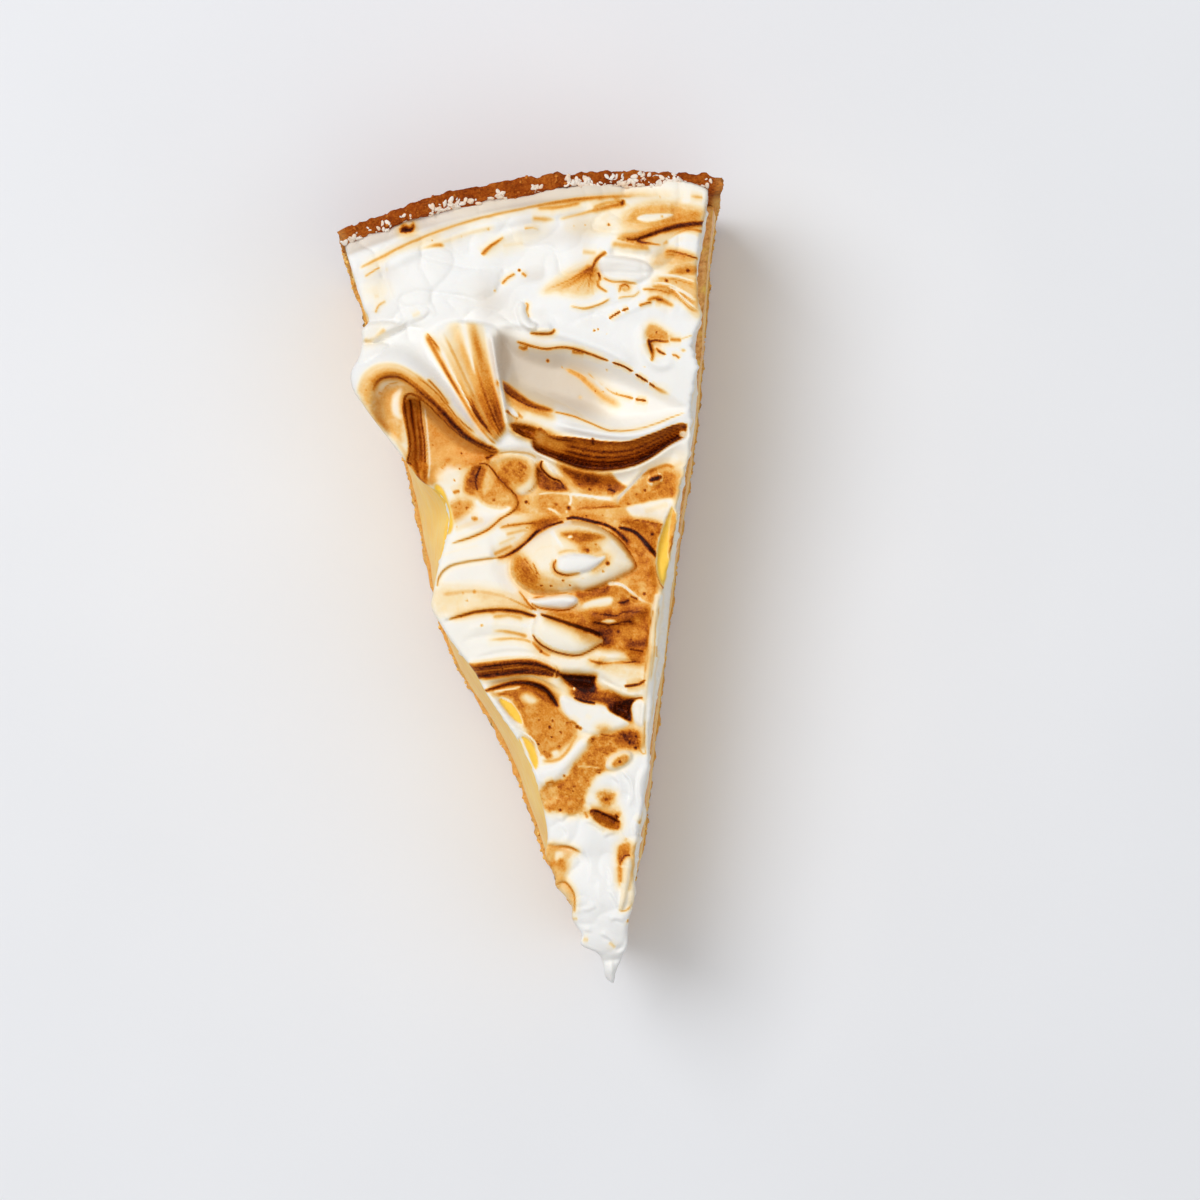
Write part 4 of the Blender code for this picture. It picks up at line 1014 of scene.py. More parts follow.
burn([(-12.3, 85.2), (-11.2, 85.1), (-10.1, 84), (-9.1, 82.3), (-6.8, 79.4), (-6.7, 78), (-7.8, 76.9),
    (-9.6, 76.1), (-12.6, 74.2), (-18.4, 72.8)], (0.26, 0.2, 0.16, 0.15, 0.15, 0.15, 0.12),
    (0.85, 0.9, 0.85, 0.8, 0.8, 0.65, 0.42), (0.01, 0.05), glow=0.35)
fold([(-18.4, 72.8), (-14.6, 73.7), (-7.8, 76.9), (-6.7, 78), (-7.8, 80.9), (-10.1, 84)], 0.7, 0.9,
    (0.1, 0.2))
patch([(-19.2, 77.6), (-17.4, 79.4), (-15.4, 79.9), (-14, 79), (-14.6, 77.8), (-18.4, 76)], 0.42, 0.6,
    0.4, 0.8)
burn([(-16.9, 80.9), (-16.2, 81.2), (-15.6, 81.1)], 0.3, 0.62)
dots((-14.9, 78.4, 0.35, 0.75), (-13.8, 76.5, 0.4, 0.5), (-16.6, 78.6, 0.3, 0.6), (-16, 79.2, 0.3, 0.6),
    (-10.4, 79.2, 0.35, 0.75), (-9.7, 78.8, 0.2, 0.6), (-12.2, 82.3, 0.2, 0.5), (-16.8, 75.6, 0.15, 0.4))
burn([(-14.5, 76.7), (-13.2, 76.4)], 0.3, 0.42)
burn([(-17.6, 75), (-12, 76.4)], 0.7, 0.14)
wipe([(-13.4, 79.6), (-12.4, 78.2), (-9.6, 77.2), (-7.6, 77.8)], 0.3, 0.05)
near, depth = within([(-19.8, 82.4), (-18.4, 82), (-17.6, 79.4), (-17.2, 76), (-18.2, 74.4), (-19.6, 76)],
    0.3)
curd_shows[near] = np.maximum(curd_shows[near], ease(depth / 0.4 + 0.4))
toast[near] *= 1 - ease(depth / 0.4 + 0.4)
height[near] -= 0.5 * ease(depth / 0.4 + 0.4)

# The flows down the left side, smooth and pale with thin caramel lines where one overlaps the next.
patch([(-21.8, 66), (-18, 66), (-10, 64), (-7, 62), (-14, 62.4), (-19, 61.6), (-21.6, 62.4)], 0.16, 0.9,
    0.5, 2, cover=False)
burn([(-21.2, 65), (-15, 64.9), (-9, 63.2)], 0.6, (0.35, 0.28, 0.28, 0.2))
burn([(-20.9, 66.2), (-20.6, 67.6), (-19.3, 69), (-17, 69.7), (-11, 69.95)], (0.12, 0.13, 0.15),
    (0.52, 0.45, 0.5), (0.02, 0), right=1.5)
fold([(-20.9, 66.2), (-20.6, 67.6), (-19.3, 69), (-17, 69.7), (-11, 69.95)], 0.9, 1.4, (0.1, 0.1))
burn([(-11.5, 69.9), (-9.6, 70), (-6.5, 71.4), (-3.4, 73.8), (0, 74.45)],
    (0.2, 0.3, 0.36, 0.34, 0.3, 0.3), (0.6, 0.92, 1.1, 1.15, 1.1, 1.1), (0.08, 0), edge=3, glow=0.45)
burn([(-11.6, 70.4), (-8, 71.6)], 0.4, 0.45)
burn([(-10.4, 74.4), (-8.6, 74.8), (-3, 74.9), (-0.6, 75.2)], (0.2, 0.25, 0.2, 0.3),
    (0.45, 0.62, 0.7, 0.82), glow=0.4)
patch([(-4.6, 74.8), (-1, 75.4), (0.4, 74.9), (-1.6, 74.4), (-3.6, 73.6)], 0.68)
burn([(-9.4, 73.4), (-6.4, 73.8), (-4.6, 73.4)], 0.4, 0.32)
burn([(-10.6, 71.9), (-7.4, 73)], 0.35, 0.22)
dots((-5.6, 74.1, 0.2, 0.6), (-8.6, 74.9, 0.25, 0.6))
burn([(-20, 60.9), (-14.6, 61.7), (-9.6, 61.3), (-5.7, 59.9)], (0.12, 0.2, 0.26, 0.3, 0.34, 0.3),
    (0.5, 0.82, 0.86, 0.8, 0.9, 1), (0.05, 0), glow=0.45, right=1.4)
fold([(-20.6, 60.8), (-14.6, 61.7), (-9.6, 61.3), (-5.7, 59.9)], 0.7, 1.6, (0.05, 0.1))
burn([(-13, 60.6), (-10, 60.5), (-7.4, 59.7)], 0.5, 0.36)
burn([(-8.2, 64.6), (-6.6, 61.9), (-5.7, 61)], (0.15, 0.2, 0.2), (0.4, 0.66, 0.7), (0.2, 0))
burn([(-14.4, 64.3), (-10.6, 63.6), (-6.2, 61.1)], 0.25, (0.25, 0.3, 0.6), (0.3, 0))
burn([(-13.4, 58.4), (-10.6, 58), (-7.2, 56.8)], (0.25, 0.3, 0.35), (0.25, 0.4, 0.45), (0.3, 0.1))
burn([(-14.4, 56.9), (-11, 56.9), (-8, 56.4), (-6.6, 55.6)], 0.3, (0.25, 0.35, 0.4), (0.3, 0.1))
ridge([(-17, 59), (-12, 59.4), (-7, 58)], 0.8, 0.3)
ridge([(-18, 57.4), (-12, 57.5), (-7, 56.2)], 0.5, -0.25)
fold([(-17, 54.2), (-12, 55), (-8, 54.6), (-5.6, 53.4)], 0.3, 1.2)
burn([(-7, 56.2), (-5.2, 54), (-3.8, 53.2)], (0.25, 0.35, 0.3), (0.4, 0.6, 0.4))
dots((-16.3, 61.5, 0.28, 0.95), (-14.5, 59.4, 0.26, 0.45), (-16.4, 63.6, 0.25, 0.45),
    (-15.1, 64.9, 0.35, 0.55), (-16.9, 64.9, 0.3, 0.4), (-5.5, 54.2, 0.3, 0.85), (-17.6, 61.2, 0.2, 0.8))
burn([(-20.4, 71), (-18, 71.6), (-13, 72.3)], 0.3, 0.08)

# The big round blob in the middle.
level([(-11, 70), (-8, 72), (-4, 75), (2, 76), (8, 75), (13, 72), (14, 66), (12, 60), (4, 59), (-4, 61),
    (-9, 64)], -0.9, 1.5)
disc = [(0, 74.3), (3, 74.2), (6, 73), (8.6, 70.9), (10.3, 68.3), (11, 66.4), (10.1, 65.4), (4, 63.4),
    (1, 63.4), (-2, 63.2), (-5.5, 63.5), (-7.7, 65), (-8.9, 67.2), (-8.4, 69.6), (-6, 71.6), (-3, 73.3)]
lobe(disc, 2.6, 4.5, 0.09, 0.5)
# Painted shade: a broad faint band along the disc's upper edge stands in for the shadow under the ledge
# above it.
burn([(0, 73.9), (3, 73.7), (5.8, 72.6), (8.4, 70.4), (10, 68)], 0.55, 0.16, (0.1, 0.1), glow=0)
patch([(-0.3, 72.4), (0.6, 72.8), (4.5, 72.2), (6.6, 71.2), (2.8, 70.8)], 0.58, 0.35, 0.25, 0.9)
burn([(1.4, 72.6), (2.6, 71.6), (4.6, 71.4)], 0.4, 0.66)
lobe(ellipse(1.1, 71.95, 0.4, 0.22), 0.2, 0.3, 0.03, 0.1)
wipe([(-1.9, 73.4), (-0.2, 70.2)], (0.4, 0.3, 0.25), 0.03)
patch([(2.6, 70.4), (4.6, 70.2), (5.6, 69.4), (2.8, 69.2)], 0.5, 0.5, 0.4, 0.8)
burn([(-1.6, 69.3), (0.6, 69.8), (5, 68.7)], 0.4, 0.28)
patch([(-8.3, 69.4), (-7, 70), (-5, 66.4), (-2, 63.6), (-5, 63.5), (-7.3, 64.8), (-8.7, 67)], 0.5, 0.7,
    0.3, 0.8)
for offset in (0, 0.85, 1.7, 2.5, 3.3):
    burn([(-8.5 + offset * 0.9, 68.6 + offset * 0.15), (-6.9 + offset * 0.8, 66.6 - offset * 0.2),
        (-5.4 + offset * 0.9, 64.4 - offset * 0.15)], 0.14, 0.68, (0.2, 0.3), glow=0.2)
burn([(-6.6, 69.4), (-6, 68.4)], 0.2, 0.66)
patch([(-4.8, 66), (-2.6, 66.2), (1, 64), (-3.6, 64)], 0.3, 0.9, 0.3)
burn([(-5.6, 69), (-4, 70.6), (-1.6, 70.8)], 0.6, 0.12)
patch([(6, 69.6), (8.6, 69), (9.6, 67), (8, 66)], 0.12, 0.8, 0.4)
patch([(4.1, 66.6), (5, 68.2), (6.6, 68.4), (6.8, 67.4), (4.6, 66)], 0.42, 0.6, 0.3, 0.8)
lobe([(-1.7, 67.5), (-1.1, 68.8), (0.5, 69.25), (3, 69), (5, 68.3), (6.4, 68.2), (4.4, 66.6),
    (2.5, 66.05), (0, 65.95), (-1.4, 66.5)], 0.9, 1.2, 0.015)
burn([(-1.4, 68.7), (-2, 67.8), (-1.9, 66.9), (-1, 66.2), (0.2, 65.9), (2.4, 66)], 0.15,
    (0.75, 0.9, 0.9, 0.7, 0.35), (0.05, 0.1), glow=0.4)
dots((6.6, 67.1, 0.42, 0.88), (5.7, 65.9, 0.28, 0.5), (-4.8, 66.8, 0.2, 0.95), (-4.3, 64.7, 0.22, 0.95),
    (-2.8, 64.5, 0.2, 0.95), (-0.8, 65.1, 0.22, 0.8), (0.2, 64.3, 0.15, 0.85), (3.6, 69.5, 0.45, 0.85),
    (5, 70.3, 0.3, 0.6), (-4.5, 65.8, 0.2, 0.6), (2.4, 65.2, 0.16, 0.3))
burn([(6.4, 72.8), (8.8, 70.8), (10.4, 68.3), (11.1, 66.5), (10.2, 65.3), (5, 63.4), (2, 63.2)], 0.13,
    (0.5, 0.6, 0.7, 0.85, 0.8, 0.7), (0, 0.05), glow=0.3)
burn([(1, 74.95), (2.4, 74.9), (6.6, 73.4), (8.4, 72.3)], (0.3, 0.34, 0.3, 0.28), 1.1, (0, 0), edge=3,
    glow=0.4)
burn([(7.6, 72.8), (9.4, 71.2), (12.2, 67.2)], (0.25, 0.4, 0.5, 0.5, 0.3), (1, 0.95, 0.9, 0.9), (0, 0.1),
    glow=0.6)
burn([(9.2, 72.6), (11.8, 71.3), (14.4, 67.6)], (0.3, 0.4, 0.42, 0.5, 0.45), 1.12, (0, 0), edge=3, glow=0.5)
patch([(9.6, 73.5), (12, 73.5), (15.9, 72.3), (14.9, 70), (14.3, 68.8), (12, 71.6)], 0.58, 0.25, 0.35, 0.8)
burn([(9.1, 72.6), (9.4, 73.3), (10.4, 73.6), (12.4, 73.4), (15.9, 72.3)], 0.14, (0.7, 0.85, 0.8, 0.8),
    (0, 0), glow=0.3)
dots((14.2, 71, 0.42, 1), (11.5, 68.3, 0.4, 0.98), (12, 67.8, 0.3, 0.95))
patch([(10.4, 70.2), (14.2, 66.6), (13.4, 65.6), (11.4, 66)], 0.5, 0.5, 0.5, 0.8)
patch([(1.2, 63), (3, 62.9), (11.5, 66), (14.2, 66.6), (14.1, 63), (13.6, 60.6), (12, 60), (4, 60),
    (1.8, 60.8)], 0.42, 0.4, 0.5)
patch([(1, 63.1), (3, 63), (6.4, 63.6), (6, 62.4), (1.6, 62)], 0.66, 0.4, 0.3)
patch([(2.2, 61.2), (6.4, 61.8), (6.4, 60.6), (4, 59.9), (2, 60.2)], 0.06, 0.4, 0.3)
wipe([(6.5, 63.9), (8.5, 63.4), (11.2, 60.8), (13.2, 59.4)], (0.3, 0.25, 0.22), 0.04)
fold([(13.2, 59.4), (11.2, 60.8), (8.5, 63.4), (6.5, 63.9)], 0.5, 0.7)
lobe(ellipse(6.7, 63.8, 0.5, 0.3), 0.3, 0.35, 0.12, 0.1)
burn([(7.7, 60.7), (8.6, 60.6), (9.4, 61)], (0.24, 0.34, 0.2), 1, (0, 0), glow=0.6)
burn([(9.4, 61.6), (10.9, 60.8)], 0.15, 0.95)
dots((11.9, 61.6, 0.35, 0.9), (10.6, 64, 0.3, 0.55), (9.6, 63.4, 0.25, 0.5), (12.9, 64.4, 0.3, 0.6),
    (8.3, 62.4, 0.25, 0.5))
for path in ([(11.6, 66), (12.6, 64.6), (12.6, 62.4)], [(13.2, 66), (13.8, 64), (13.4, 61.6)]):
    burn(path, 0.4, 0.55)

# The bean and the leaf, two smooth lobes pressed out between the folds.
level([(-5, 61), (0, 61), (4, 58), (9, 57.4), (12.6, 58.4), (11.6, 52.6), (4, 54), (0, 58)], -1, 1)
patch([(1, 59.9), (8, 60.1), (12.8, 60), (12.4, 57), (11.6, 53), (9, 52.6), (5.6, 53.4), (4.4, 54.4),
    (3.6, 56.4), (0, 58)], 0.44, 0.4, 0.4, 1.1)
patch([(8.8, 58.6), (12.4, 58.6), (11.2, 52.7), (8.6, 53)], 0.58, 0.6, 0.3, 0.8)
patch([(8.6, 54.2), (11.4, 54.4), (11.3, 52.7), (9, 52.7)], 0.68, 0.4, 0.3)
patch([(7.4, 56.6), (9, 57), (11.6, 55.4), (10.6, 54.4), (8.6, 54.8)], 0.5, 0.4, 0.3)
burn([(2.2, 59.2), (3.6, 59.3), (7, 58.6), (8.6, 59.1), (13, 58.4)], (0.25, 0.35, 0.3, 0.2),
    (0.7, 0.85, 0.9, 0.8), glow=0.5)
burn([(5, 59), (6.4, 58.7)], 0.42, 0.96, (0, 0))
burn([(2.4, 58.2), (6, 57.3), (8.5, 57.5), (10.3, 57.3)], (0.35, 0.3, 0.2), (1, 0.9, 0.88), glow=0.5)
patch([(4.6, 58), (5.8, 58.2), (7, 57.8), (5.8, 57.5)], 0.06, 0.25, 0.1)
dots((7.1, 56.1, 0.4, 0.92), (10.2, 56.2, 0.3, 0.7), (9, 54.6, 0.3, 0.9))
patch([(4.4, 56.4), (6.4, 57), (6.2, 54.8), (5, 53.8), (4, 54.4)], 0.78, 0.5, 0.2, 0.7)
lobe([(-6.6, 62.7), (-4, 63), (-1, 62.95), (0.8, 62.4), (1.2, 61.7), (0.3, 60.8), (-1.5, 60.4),
    (-5.4, 61.5)], 1.1, 1.1, 0.015, 0.3)
burn([(-6.4, 62.2), (-5, 61.2), (-1.4, 60.35), (0.4, 60.7), (1.3, 61.5)], 0.14, (0.55, 0.75, 0.7, 0.4),
    (0.05, 0.05), glow=0.4)
burn([(-6.4, 62.9), (-0.6, 63.05), (0.9, 62.5)], 0.12, 0.55)
lobe([(-5.2, 60.3), (-6.4, 58.8), (-6.6, 57), (-5.5, 55), (-3, 53.6), (0.4, 53), (3, 53.8), (4.5, 54.8),
    (3.6, 56.3), (0.5, 57.9), (-3, 59.4)], 1.7, 2.6, 0.07, 0.3)
burn([(-4, 59.4), (-5.4, 57.6), (-4.4, 55.8)], 0.6, 0.1, glow=0)
# Light browning on the leaf's right side, made darker to stand in for the shade on that side of the lobe as
# well: partly painted shade.
patch([(0.4, 57.4), (3.6, 55.6), (2.4, 54.6), (0.8, 54.8)], 0.17, 0.7, 0.4)
burn([(0.2, 57.3), (2.4, 56.2)], 0.15, 0.35)
burn([(-6.5, 57.3), (-6.2, 56.3), (-5, 55), (-3, 53.8), (0, 53), (2.6, 53.6), (4.5, 54.6)], 0.14,
    (0.95, 0.9, 0.85, 0.75, 0.85), (0.03, 0.03), glow=0.45)
burn([(-5, 60.2), (5.6, 55.3)], (0.2, 0.3, 0.42, 0.5, 0.7, 0.8), (1, 1.1), (0.02, 0.15), left=1.0,
    right=0.8, edge=2.5, glow=0.45)
patch([(-3, 60), (0, 60), (1.4, 59), (0, 58.3)], 0.55, 0.5, 0.3)

# The curd seen through a slit near the right side, in a glassy pale rim, with a long thin strip below it.
slit = [(17.9, 75.2), (16.9, 74), (15.8, 71.6), (14.8, 69), (14.3, 66), (14.5, 63.6), (15.3, 62.4),
    (16.2, 63), (16.3, 66), (16.8, 69.6), (17.8, 73)]
near, depth = within(slit, 0.6)
curd_shows[near] = np.maximum(curd_shows[near], ease((depth + 0.1) / 0.3))
toast[near] *= 1 - ease((depth + 0.15) / 0.25)
height[near] -= 0.8 * ease((depth + 0.1) / 0.4)
near, depth = within([(17.9, 74.6), (17, 73), (16.4, 69), (16.3, 66.4), (17, 68), (17.8, 72)], 0.25)
toast[near] = np.maximum(toast[near], 0.42 * ease((depth + 0.1) / 0.3))
curd_shows[near] *= 1 - 0.8 * ease((depth + 0.1) / 0.3)
burn([(17.2, 70.6), (16.9, 69), (17, 67.6)], 0.3, 0.66)
burn([(14.2, 66.4), (14.3, 64), (15.2, 62.2), (16.4, 62.6), (17.4, 64)], 0.13, (0.3, 0.5, 0.85, 0.5),
    (0.2, 0.1), glow=0.3)
for path in ([(18, 75.4), (16.6, 73.8), (15.5, 71.2), (14.6, 68.6), (14, 66), (14.2, 63.4), (15.3, 62),
        (16.6, 62.9)], [(14.1, 61.6), (13.4, 59), (12.6, 56), (11.9, 53), (11.3, 50), (10.6, 47),
        (9.9, 44), (9.2, 40), (8.8, 36.6)]):
    ridge(path, 0.5, 0.9, (0.05, 0.05))
wipe([(14.6, 61.4), (12.5, 53), (9.9, 40), (9.5, 36)], 1.1, 0.02, (0.02, 0.04))
wipe([(14.1, 61.4), (12.6, 56), (9.9, 44), (8.8, 36.6)], (0.5, 0.55, 0.5, 0.5, 0.6), 0.15, (0.02, 0.04))
burn([(13.1, 59.2), (11.3, 53.2), (10.2, 46.6)], 0.12, (0.5, 0.7, 0.6, 0.4), (0.05, 0.05), glow=0.2)
burn([(14.3, 60), (13.4, 57), (11.2, 47)], 0.12, 0.34)
burn([(8.4, 39), (8.5, 36.8), (9.3, 36.2), (9.5, 39), (9.9, 42)], 0.12, 0.34)
burn([(13, 53.2), (12.7, 51.2)], 0.2, 0.42)

# Two dark folds at the left that run down into a black crease, with white meringue torn across it.
level([(-17, 51.4), (-6, 51), (-3, 50), (2.6, 49.8), (6, 46.4), (8.4, 45), (10.4, 45.2), (10, 36),
    (9, 24), (4, 4), (-6, 6), (-8.6, 20), (-8.6, 34), (-13, 46)], -1.3, 1.2)
sweep([(-16.7, 54), (-8, 53.7), (-5, 52.6), (-3.2, 51.3)], [(-16, 50.9), (-8, 51), (-3.5, 49.8)],
    (0.3, 0.6, 0.1, -0.3, 0.1), 0.3, ((0.06, 0.08, 0.06), (0.26, 0.1, (0.6, 0.66, 0.5)),
    (0.4, 0.09, (0.8, 0.97, 1, 0.95)), (0.53, 0.05, (0.72, 0.78, 0.7)), (0.6, 0.03, (0.46, 0.5, 0.6)),
    (0.7, 0.06, (0.66, 0.72, 0.76)), (0.84, 0.1, (0.97, 0.93, 0.85))), 0.1, 10, (0, 0), 0.2)
burn([(-16.5, 52.2), (-14, 52.8), (-10, 52.8), (-6.4, 52.1), (-3.8, 50.9)], (0.2, 0.3, 0.35, 0.3),
    (0.85, 0.95, 1.05, 0.9), (0.02, 0))
burn([(-16.2, 51.1), (-8.4, 51.1), (-3.6, 50)], (0.22, 0.28, 0.25), (1, 0.95, 0.85), (0, 0), glow=0.5)
dots((-12, 52, 0.25, 1), (-10.8, 53, 0.25, 0.8))
wipe([(-16, 50.1), (-9, 50.5), (-6.4, 49.9), (-2.2, 47.1)], (0.16, 0.2, 0.25, 0.4, 0.3), 0.1, (0.03, 0.08))
fold([(-16, 50.2), (-9, 50.6), (-6.4, 50), (-2.2, 47.2)], 0.6, 0.7)
patch([(-13.8, 48.2), (-8, 49.2), (-4.4, 46.8), (-3.6, 44.6), (-1.4, 41.7), (-1.7, 40.2), (-4, 38.4),
    (-6, 37), (-7.2, 37.3), (-9.5, 42.5), (-10.6, 46.5), (-12.2, 47.7)], 0.47, 0.4, 0.35, 0.8)
patch([(-10.4, 46.6), (-8.2, 48), (-6, 47.6), (-9, 44)], 0.4, 0.8, 0.4, 0.8)
patch([(-9.6, 47.4), (-8, 47.6), (-7, 46.6), (-7.6, 46), (-9, 46.4)], 0.1, 0.6, 0.4)
burn([(-13.6, 48), (-11.4, 48), (-10, 47), (-9.2, 45)], 0.3, (0.62, 0.66, 0.6))
burn([(-10.6, 47.4), (-8.8, 43.6)], 0.45, 0.6)
burn([(-15.3, 48.9), (-10, 49.7), (-6, 48.5), (-4.1, 45.8), (-3.8, 44.4)],
    (0.25, 0.3, 0.34, 0.4, 0.5, 0.45, 0.3), (0.9, 0.95, 1.05, 1.1, 1.1, 1), (0.02, 0.1), right=1.5,
    glow=0.5)
burn([(-13, 48.6), (-9, 48.7), (-6.4, 47.2), (-5, 45.4)], 0.6, (0.3, 0.5, 0.75, 0.8), glow=0.2)
wipe([(-14, 48.6), (-9.2, 48.9)], (0.1, 0.2, 0.1), 0.12)
ridge([(-15, 49.6), (-9, 49.6), (-5, 47.4), (-4, 44.6)], 0.5, -0.9)
dots((-9.1, 49.4, 0.17, 0.2), (-8.2, 49.4, 0.14, 0.3), (-4.3, 46.1, 0.3, 1.1), (-5.7, 47.9, 0.2, 1))
wipe([(-3.5, 51.9), (-3.3, 51.1), (-4.4, 49.1)], 0.11, 0.16, (0.1, 0.05))
patch([(-1.5, 47.1), (0.5, 47.6), (3, 46.9), (5, 46.6), (7.4, 44.8), (6.4, 43.8), (2.4, 45.2), (0, 45.8)],
    0.72, 0.4, 0.35, 0.7)
patch([(-3.5, 50.7), (-2, 50.2), (2.3, 49.5), (2.9, 49.2), (2.5, 48.2), (2.6, 47.1), (0, 47.1)], 1, 0.3,
    0.1, 0.8)
burn([(-2.8, 49.8), (-1.4, 48.3), (0.4, 47.2), (2.4, 46.9)], 0.4, (0.8, 0.72), glow=0.2)
ridge([(-3, 50), (2.6, 48.4)], 1, -1.2)
burn([(-1.1, 46.4), (0.3, 45.6), (2.3, 45)], (0.2, 0.36, 0.24), 1.1, (0.05, 0.05), edge=3, glow=0.5)
patch([(4.3, 44.6), (8.4, 45.1), (7.9, 43.6), (7.5, 41.5), (4.9, 42.9)], 0.97, 0.3, 0.15, 0.7)
burn([(4.8, 44.3), (7.2, 43.2)], 0.35, 0.7, glow=0)
ridge([(5, 44), (7.6, 43)], 0.9, -1)
dots((-1, 47.7, 0.01, 0))
near, depth = within(ellipse(-0.9, 47.75, 0.2, 0.2), 0.2)
toast[near] *= 1 - ease(depth / 0.2 + 0.5)
patch([(-2.9, 46.8), (0.4, 45.2), (3.6, 44.4), (4.3, 43.4), (7.1, 41.5), (6.5, 40.8), (4, 40.2),
    (1, 40.3), (-1, 41.5), (-3.2, 45)], 0.03, 0.3, 0.3)
level([(-2.9, 46.6), (0.4, 45), (3.6, 44.2), (7, 41.4), (1, 40.3), (-2.4, 43.5)], 0.5, 0.4)
burn([(0.4, 43.4), (1.4, 42.6)], 0.6, 0.08)
patch([(2, 41.2), (3.4, 41.4), (4.2, 40.6), (2.8, 40)], 0.32, 0.5, 0.3)
dots((-1.1, 41.6, 0.4, 0.8), (-0.6, 41.3, 0.3, 0.7), (3.4, 43.4, 0.2, 0.1))
burn([(-3, 42.4), (-1.8, 42.4), (-1.2, 41.8)], 0.35, 0.62)
patch([(2.4, 52.4), (7, 52.6), (10.8, 52), (10.4, 49), (10.1, 45.4), (8.4, 45.4), (3.2, 48.4), (3, 50),
    (0.6, 50.6)], 0.09, 0.5, 0.5, 1.8)
patch([(8, 53), (11.2, 53.1), (10.7, 50.4), (8.6, 51.2)], 0.5, 0.4, 0.4, 0.9)
patch([(4.6, 50.6), (10.4, 49.4), (10.2, 48.4), (6.4, 49.2)], 0.2, 0.7, 0.5)
burn([(1.2, 52.4), (4, 51.3), (9, 51), (10.7, 50.6)], (0.15, 0.3, 0.14, 0.2), (0.4, 0.75, 0.4, 0.9, 0.85),
    glow=0.45)
burn([(3.2, 51.8), (4, 51.2)], 0.35, 0.6)
burn([(8.2, 53.2), (11, 52.4)], (0.2, 0.35, 0.3), 0.92)
burn([(7.3, 47.25), (9.4, 47.3), (10.4, 47.8)], (0.22, 0.28, 0.18), 0.95, (0, 0), edge=3, glow=0.4)
burn([(6.8, 45.1), (10.1, 45.1)], 0.14, 0.85)
fold([(10, 46), (8, 46.2), (5, 47.6), (3.2, 49)], 0.5, 0.8)
fold([(2.2, 50.4), (5, 51.8), (10.6, 51)], 0.4, 0.7)
lobe([(7.9, 43.6), (8.4, 44.6), (9.6, 44.8), (10, 43.8), (9.7, 42), (9.2, 40.6), (8.2, 41.2)], 0.6, 0.8,
    0.05, 0.15)
dots((6.5, 46.8, 0.2, 0.2), (4.4, 47.6, 0.15, 0.2))

# Slits at the left with the curd glowing through, crossed by threads of meringue.
for outline in (
        [(-13.3, 47.3), (-12, 47.5), (-10.6, 46), (-9.8, 44.2), (-9.7, 42.9), (-10.8, 43.4), (-12.1, 45)],
        [(-10.8, 40.8), (-9.9, 41.1), (-8.8, 40.2), (-8, 38.5), (-7.8, 36.4), (-8.5, 35.4), (-9.5, 37.3),
        (-10.5, 39.3)]):
    near, depth = within(outline, 0.4)
    curd_shows[near] = np.maximum(curd_shows[near], ease((depth + 0.05) / 0.3))
    toast[near] *= 1 - ease((depth + 0.1) / 0.25)
    height[near] -= 0.5 * ease((depth + 0.1) / 0.4)
burn([(-10.4, 40.9), (-9.2, 40.4), (-8.2, 38.6)], 0.2, 0.3)
wipe([(-12.6, 47.4), (-11.8, 47.2), (-11.2, 46.6)], 0.12, 0.05)
wipe([(-15.1, 48.6), (-13.2, 46.4), (-10.5, 41.2), (-8.9, 35.6)], 0.2, 0.03, (0, 0))
wipe([(-11.4, 42.9), (-8.6, 40.6), (-7.8, 38.8), (-7.6, 37)], 0.13, 0.06)
ridge([(-11.4, 42.9), (-8.6, 40.6), (-7.8, 38.8)], 0.2, 0.4)
dots((-5.5, 42, 0.38, 0.95), (-5.3, 40.4, 0.24, 1), (-7.5, 39.5, 0.28, 0.98), (-3.8, 41, 0.24, 0.95),
    (-4.3, 38.8, 0.3, 0.85), (-7, 43.3, 0.24, 0.85), (-4.9, 43, 0.28, 0.8), (-6.6, 44.7, 0.2, 0.7),
    (-2.6, 42.4, 0.35, 0.75), (-6.7, 38.2, 0.3, 0.75), (-5.9, 37.4, 0.25, 0.7))
patch([(-5.6, 38), (-4.6, 38.2), (-4.4, 37.4), (-5.2, 37)], 0.1, 0.4, 0.5)
patch([(-8, 37), (-7, 37.6), (-6.6, 36.6), (-7.8, 36.2)], 0.05, 0.3)
burn([(-7.8, 36.9), (-5.4, 36.6), (-3.4, 37.6), (-0.8, 41)], 0.4, 0.4)

# A white bar across the slice, the broad speckled toast below it and the burnt knots at its right end.
patch([(-8.7, 35), (-7, 36), (-5, 36.1), (-3, 37.3), (-1, 39.3), (0.5, 40.1), (1.1, 39.6), (-1.8, 36.8),
    (-3.3, 34.9), (-5.5, 33.4), (-8.3, 33.2)], 0.01, 0.25, 0)
level([(-8.7, 35), (-5, 36.1), (-1, 39.3), (1, 39.4), (-5.5, 33.4), (-8.3, 33.2)], 0.7, 0.7)
patch([(-8.2, 31), (-7.4, 32.6), (-3.8, 33.8), (-2.4, 35.6), (0.2, 38), (0.9, 39.6), (5, 39.7),
    (8.3, 39.2), (8, 37), (6, 37.3), (4, 36.9), (2.9, 35.7), (3.8, 34.4), (1.2, 33.6), (-1, 30.4),
    (-1.5, 28), (-3.4, 27.6), (-5.4, 28.3), (-7.4, 28.8)], 0.5, 0.4, 0.5, 0.7)
patch([(-7.8, 31.6), (-6, 32.8), (-5, 32), (-6, 29.8), (-7.4, 29.6)], 0.38, 0.7, 0.5, 0.7)
patch([(5.5, 40), (8.3, 39.8), (8.2, 37.2), (5.8, 38.8)], 0.74, 0.4, 0.5, 0.6)
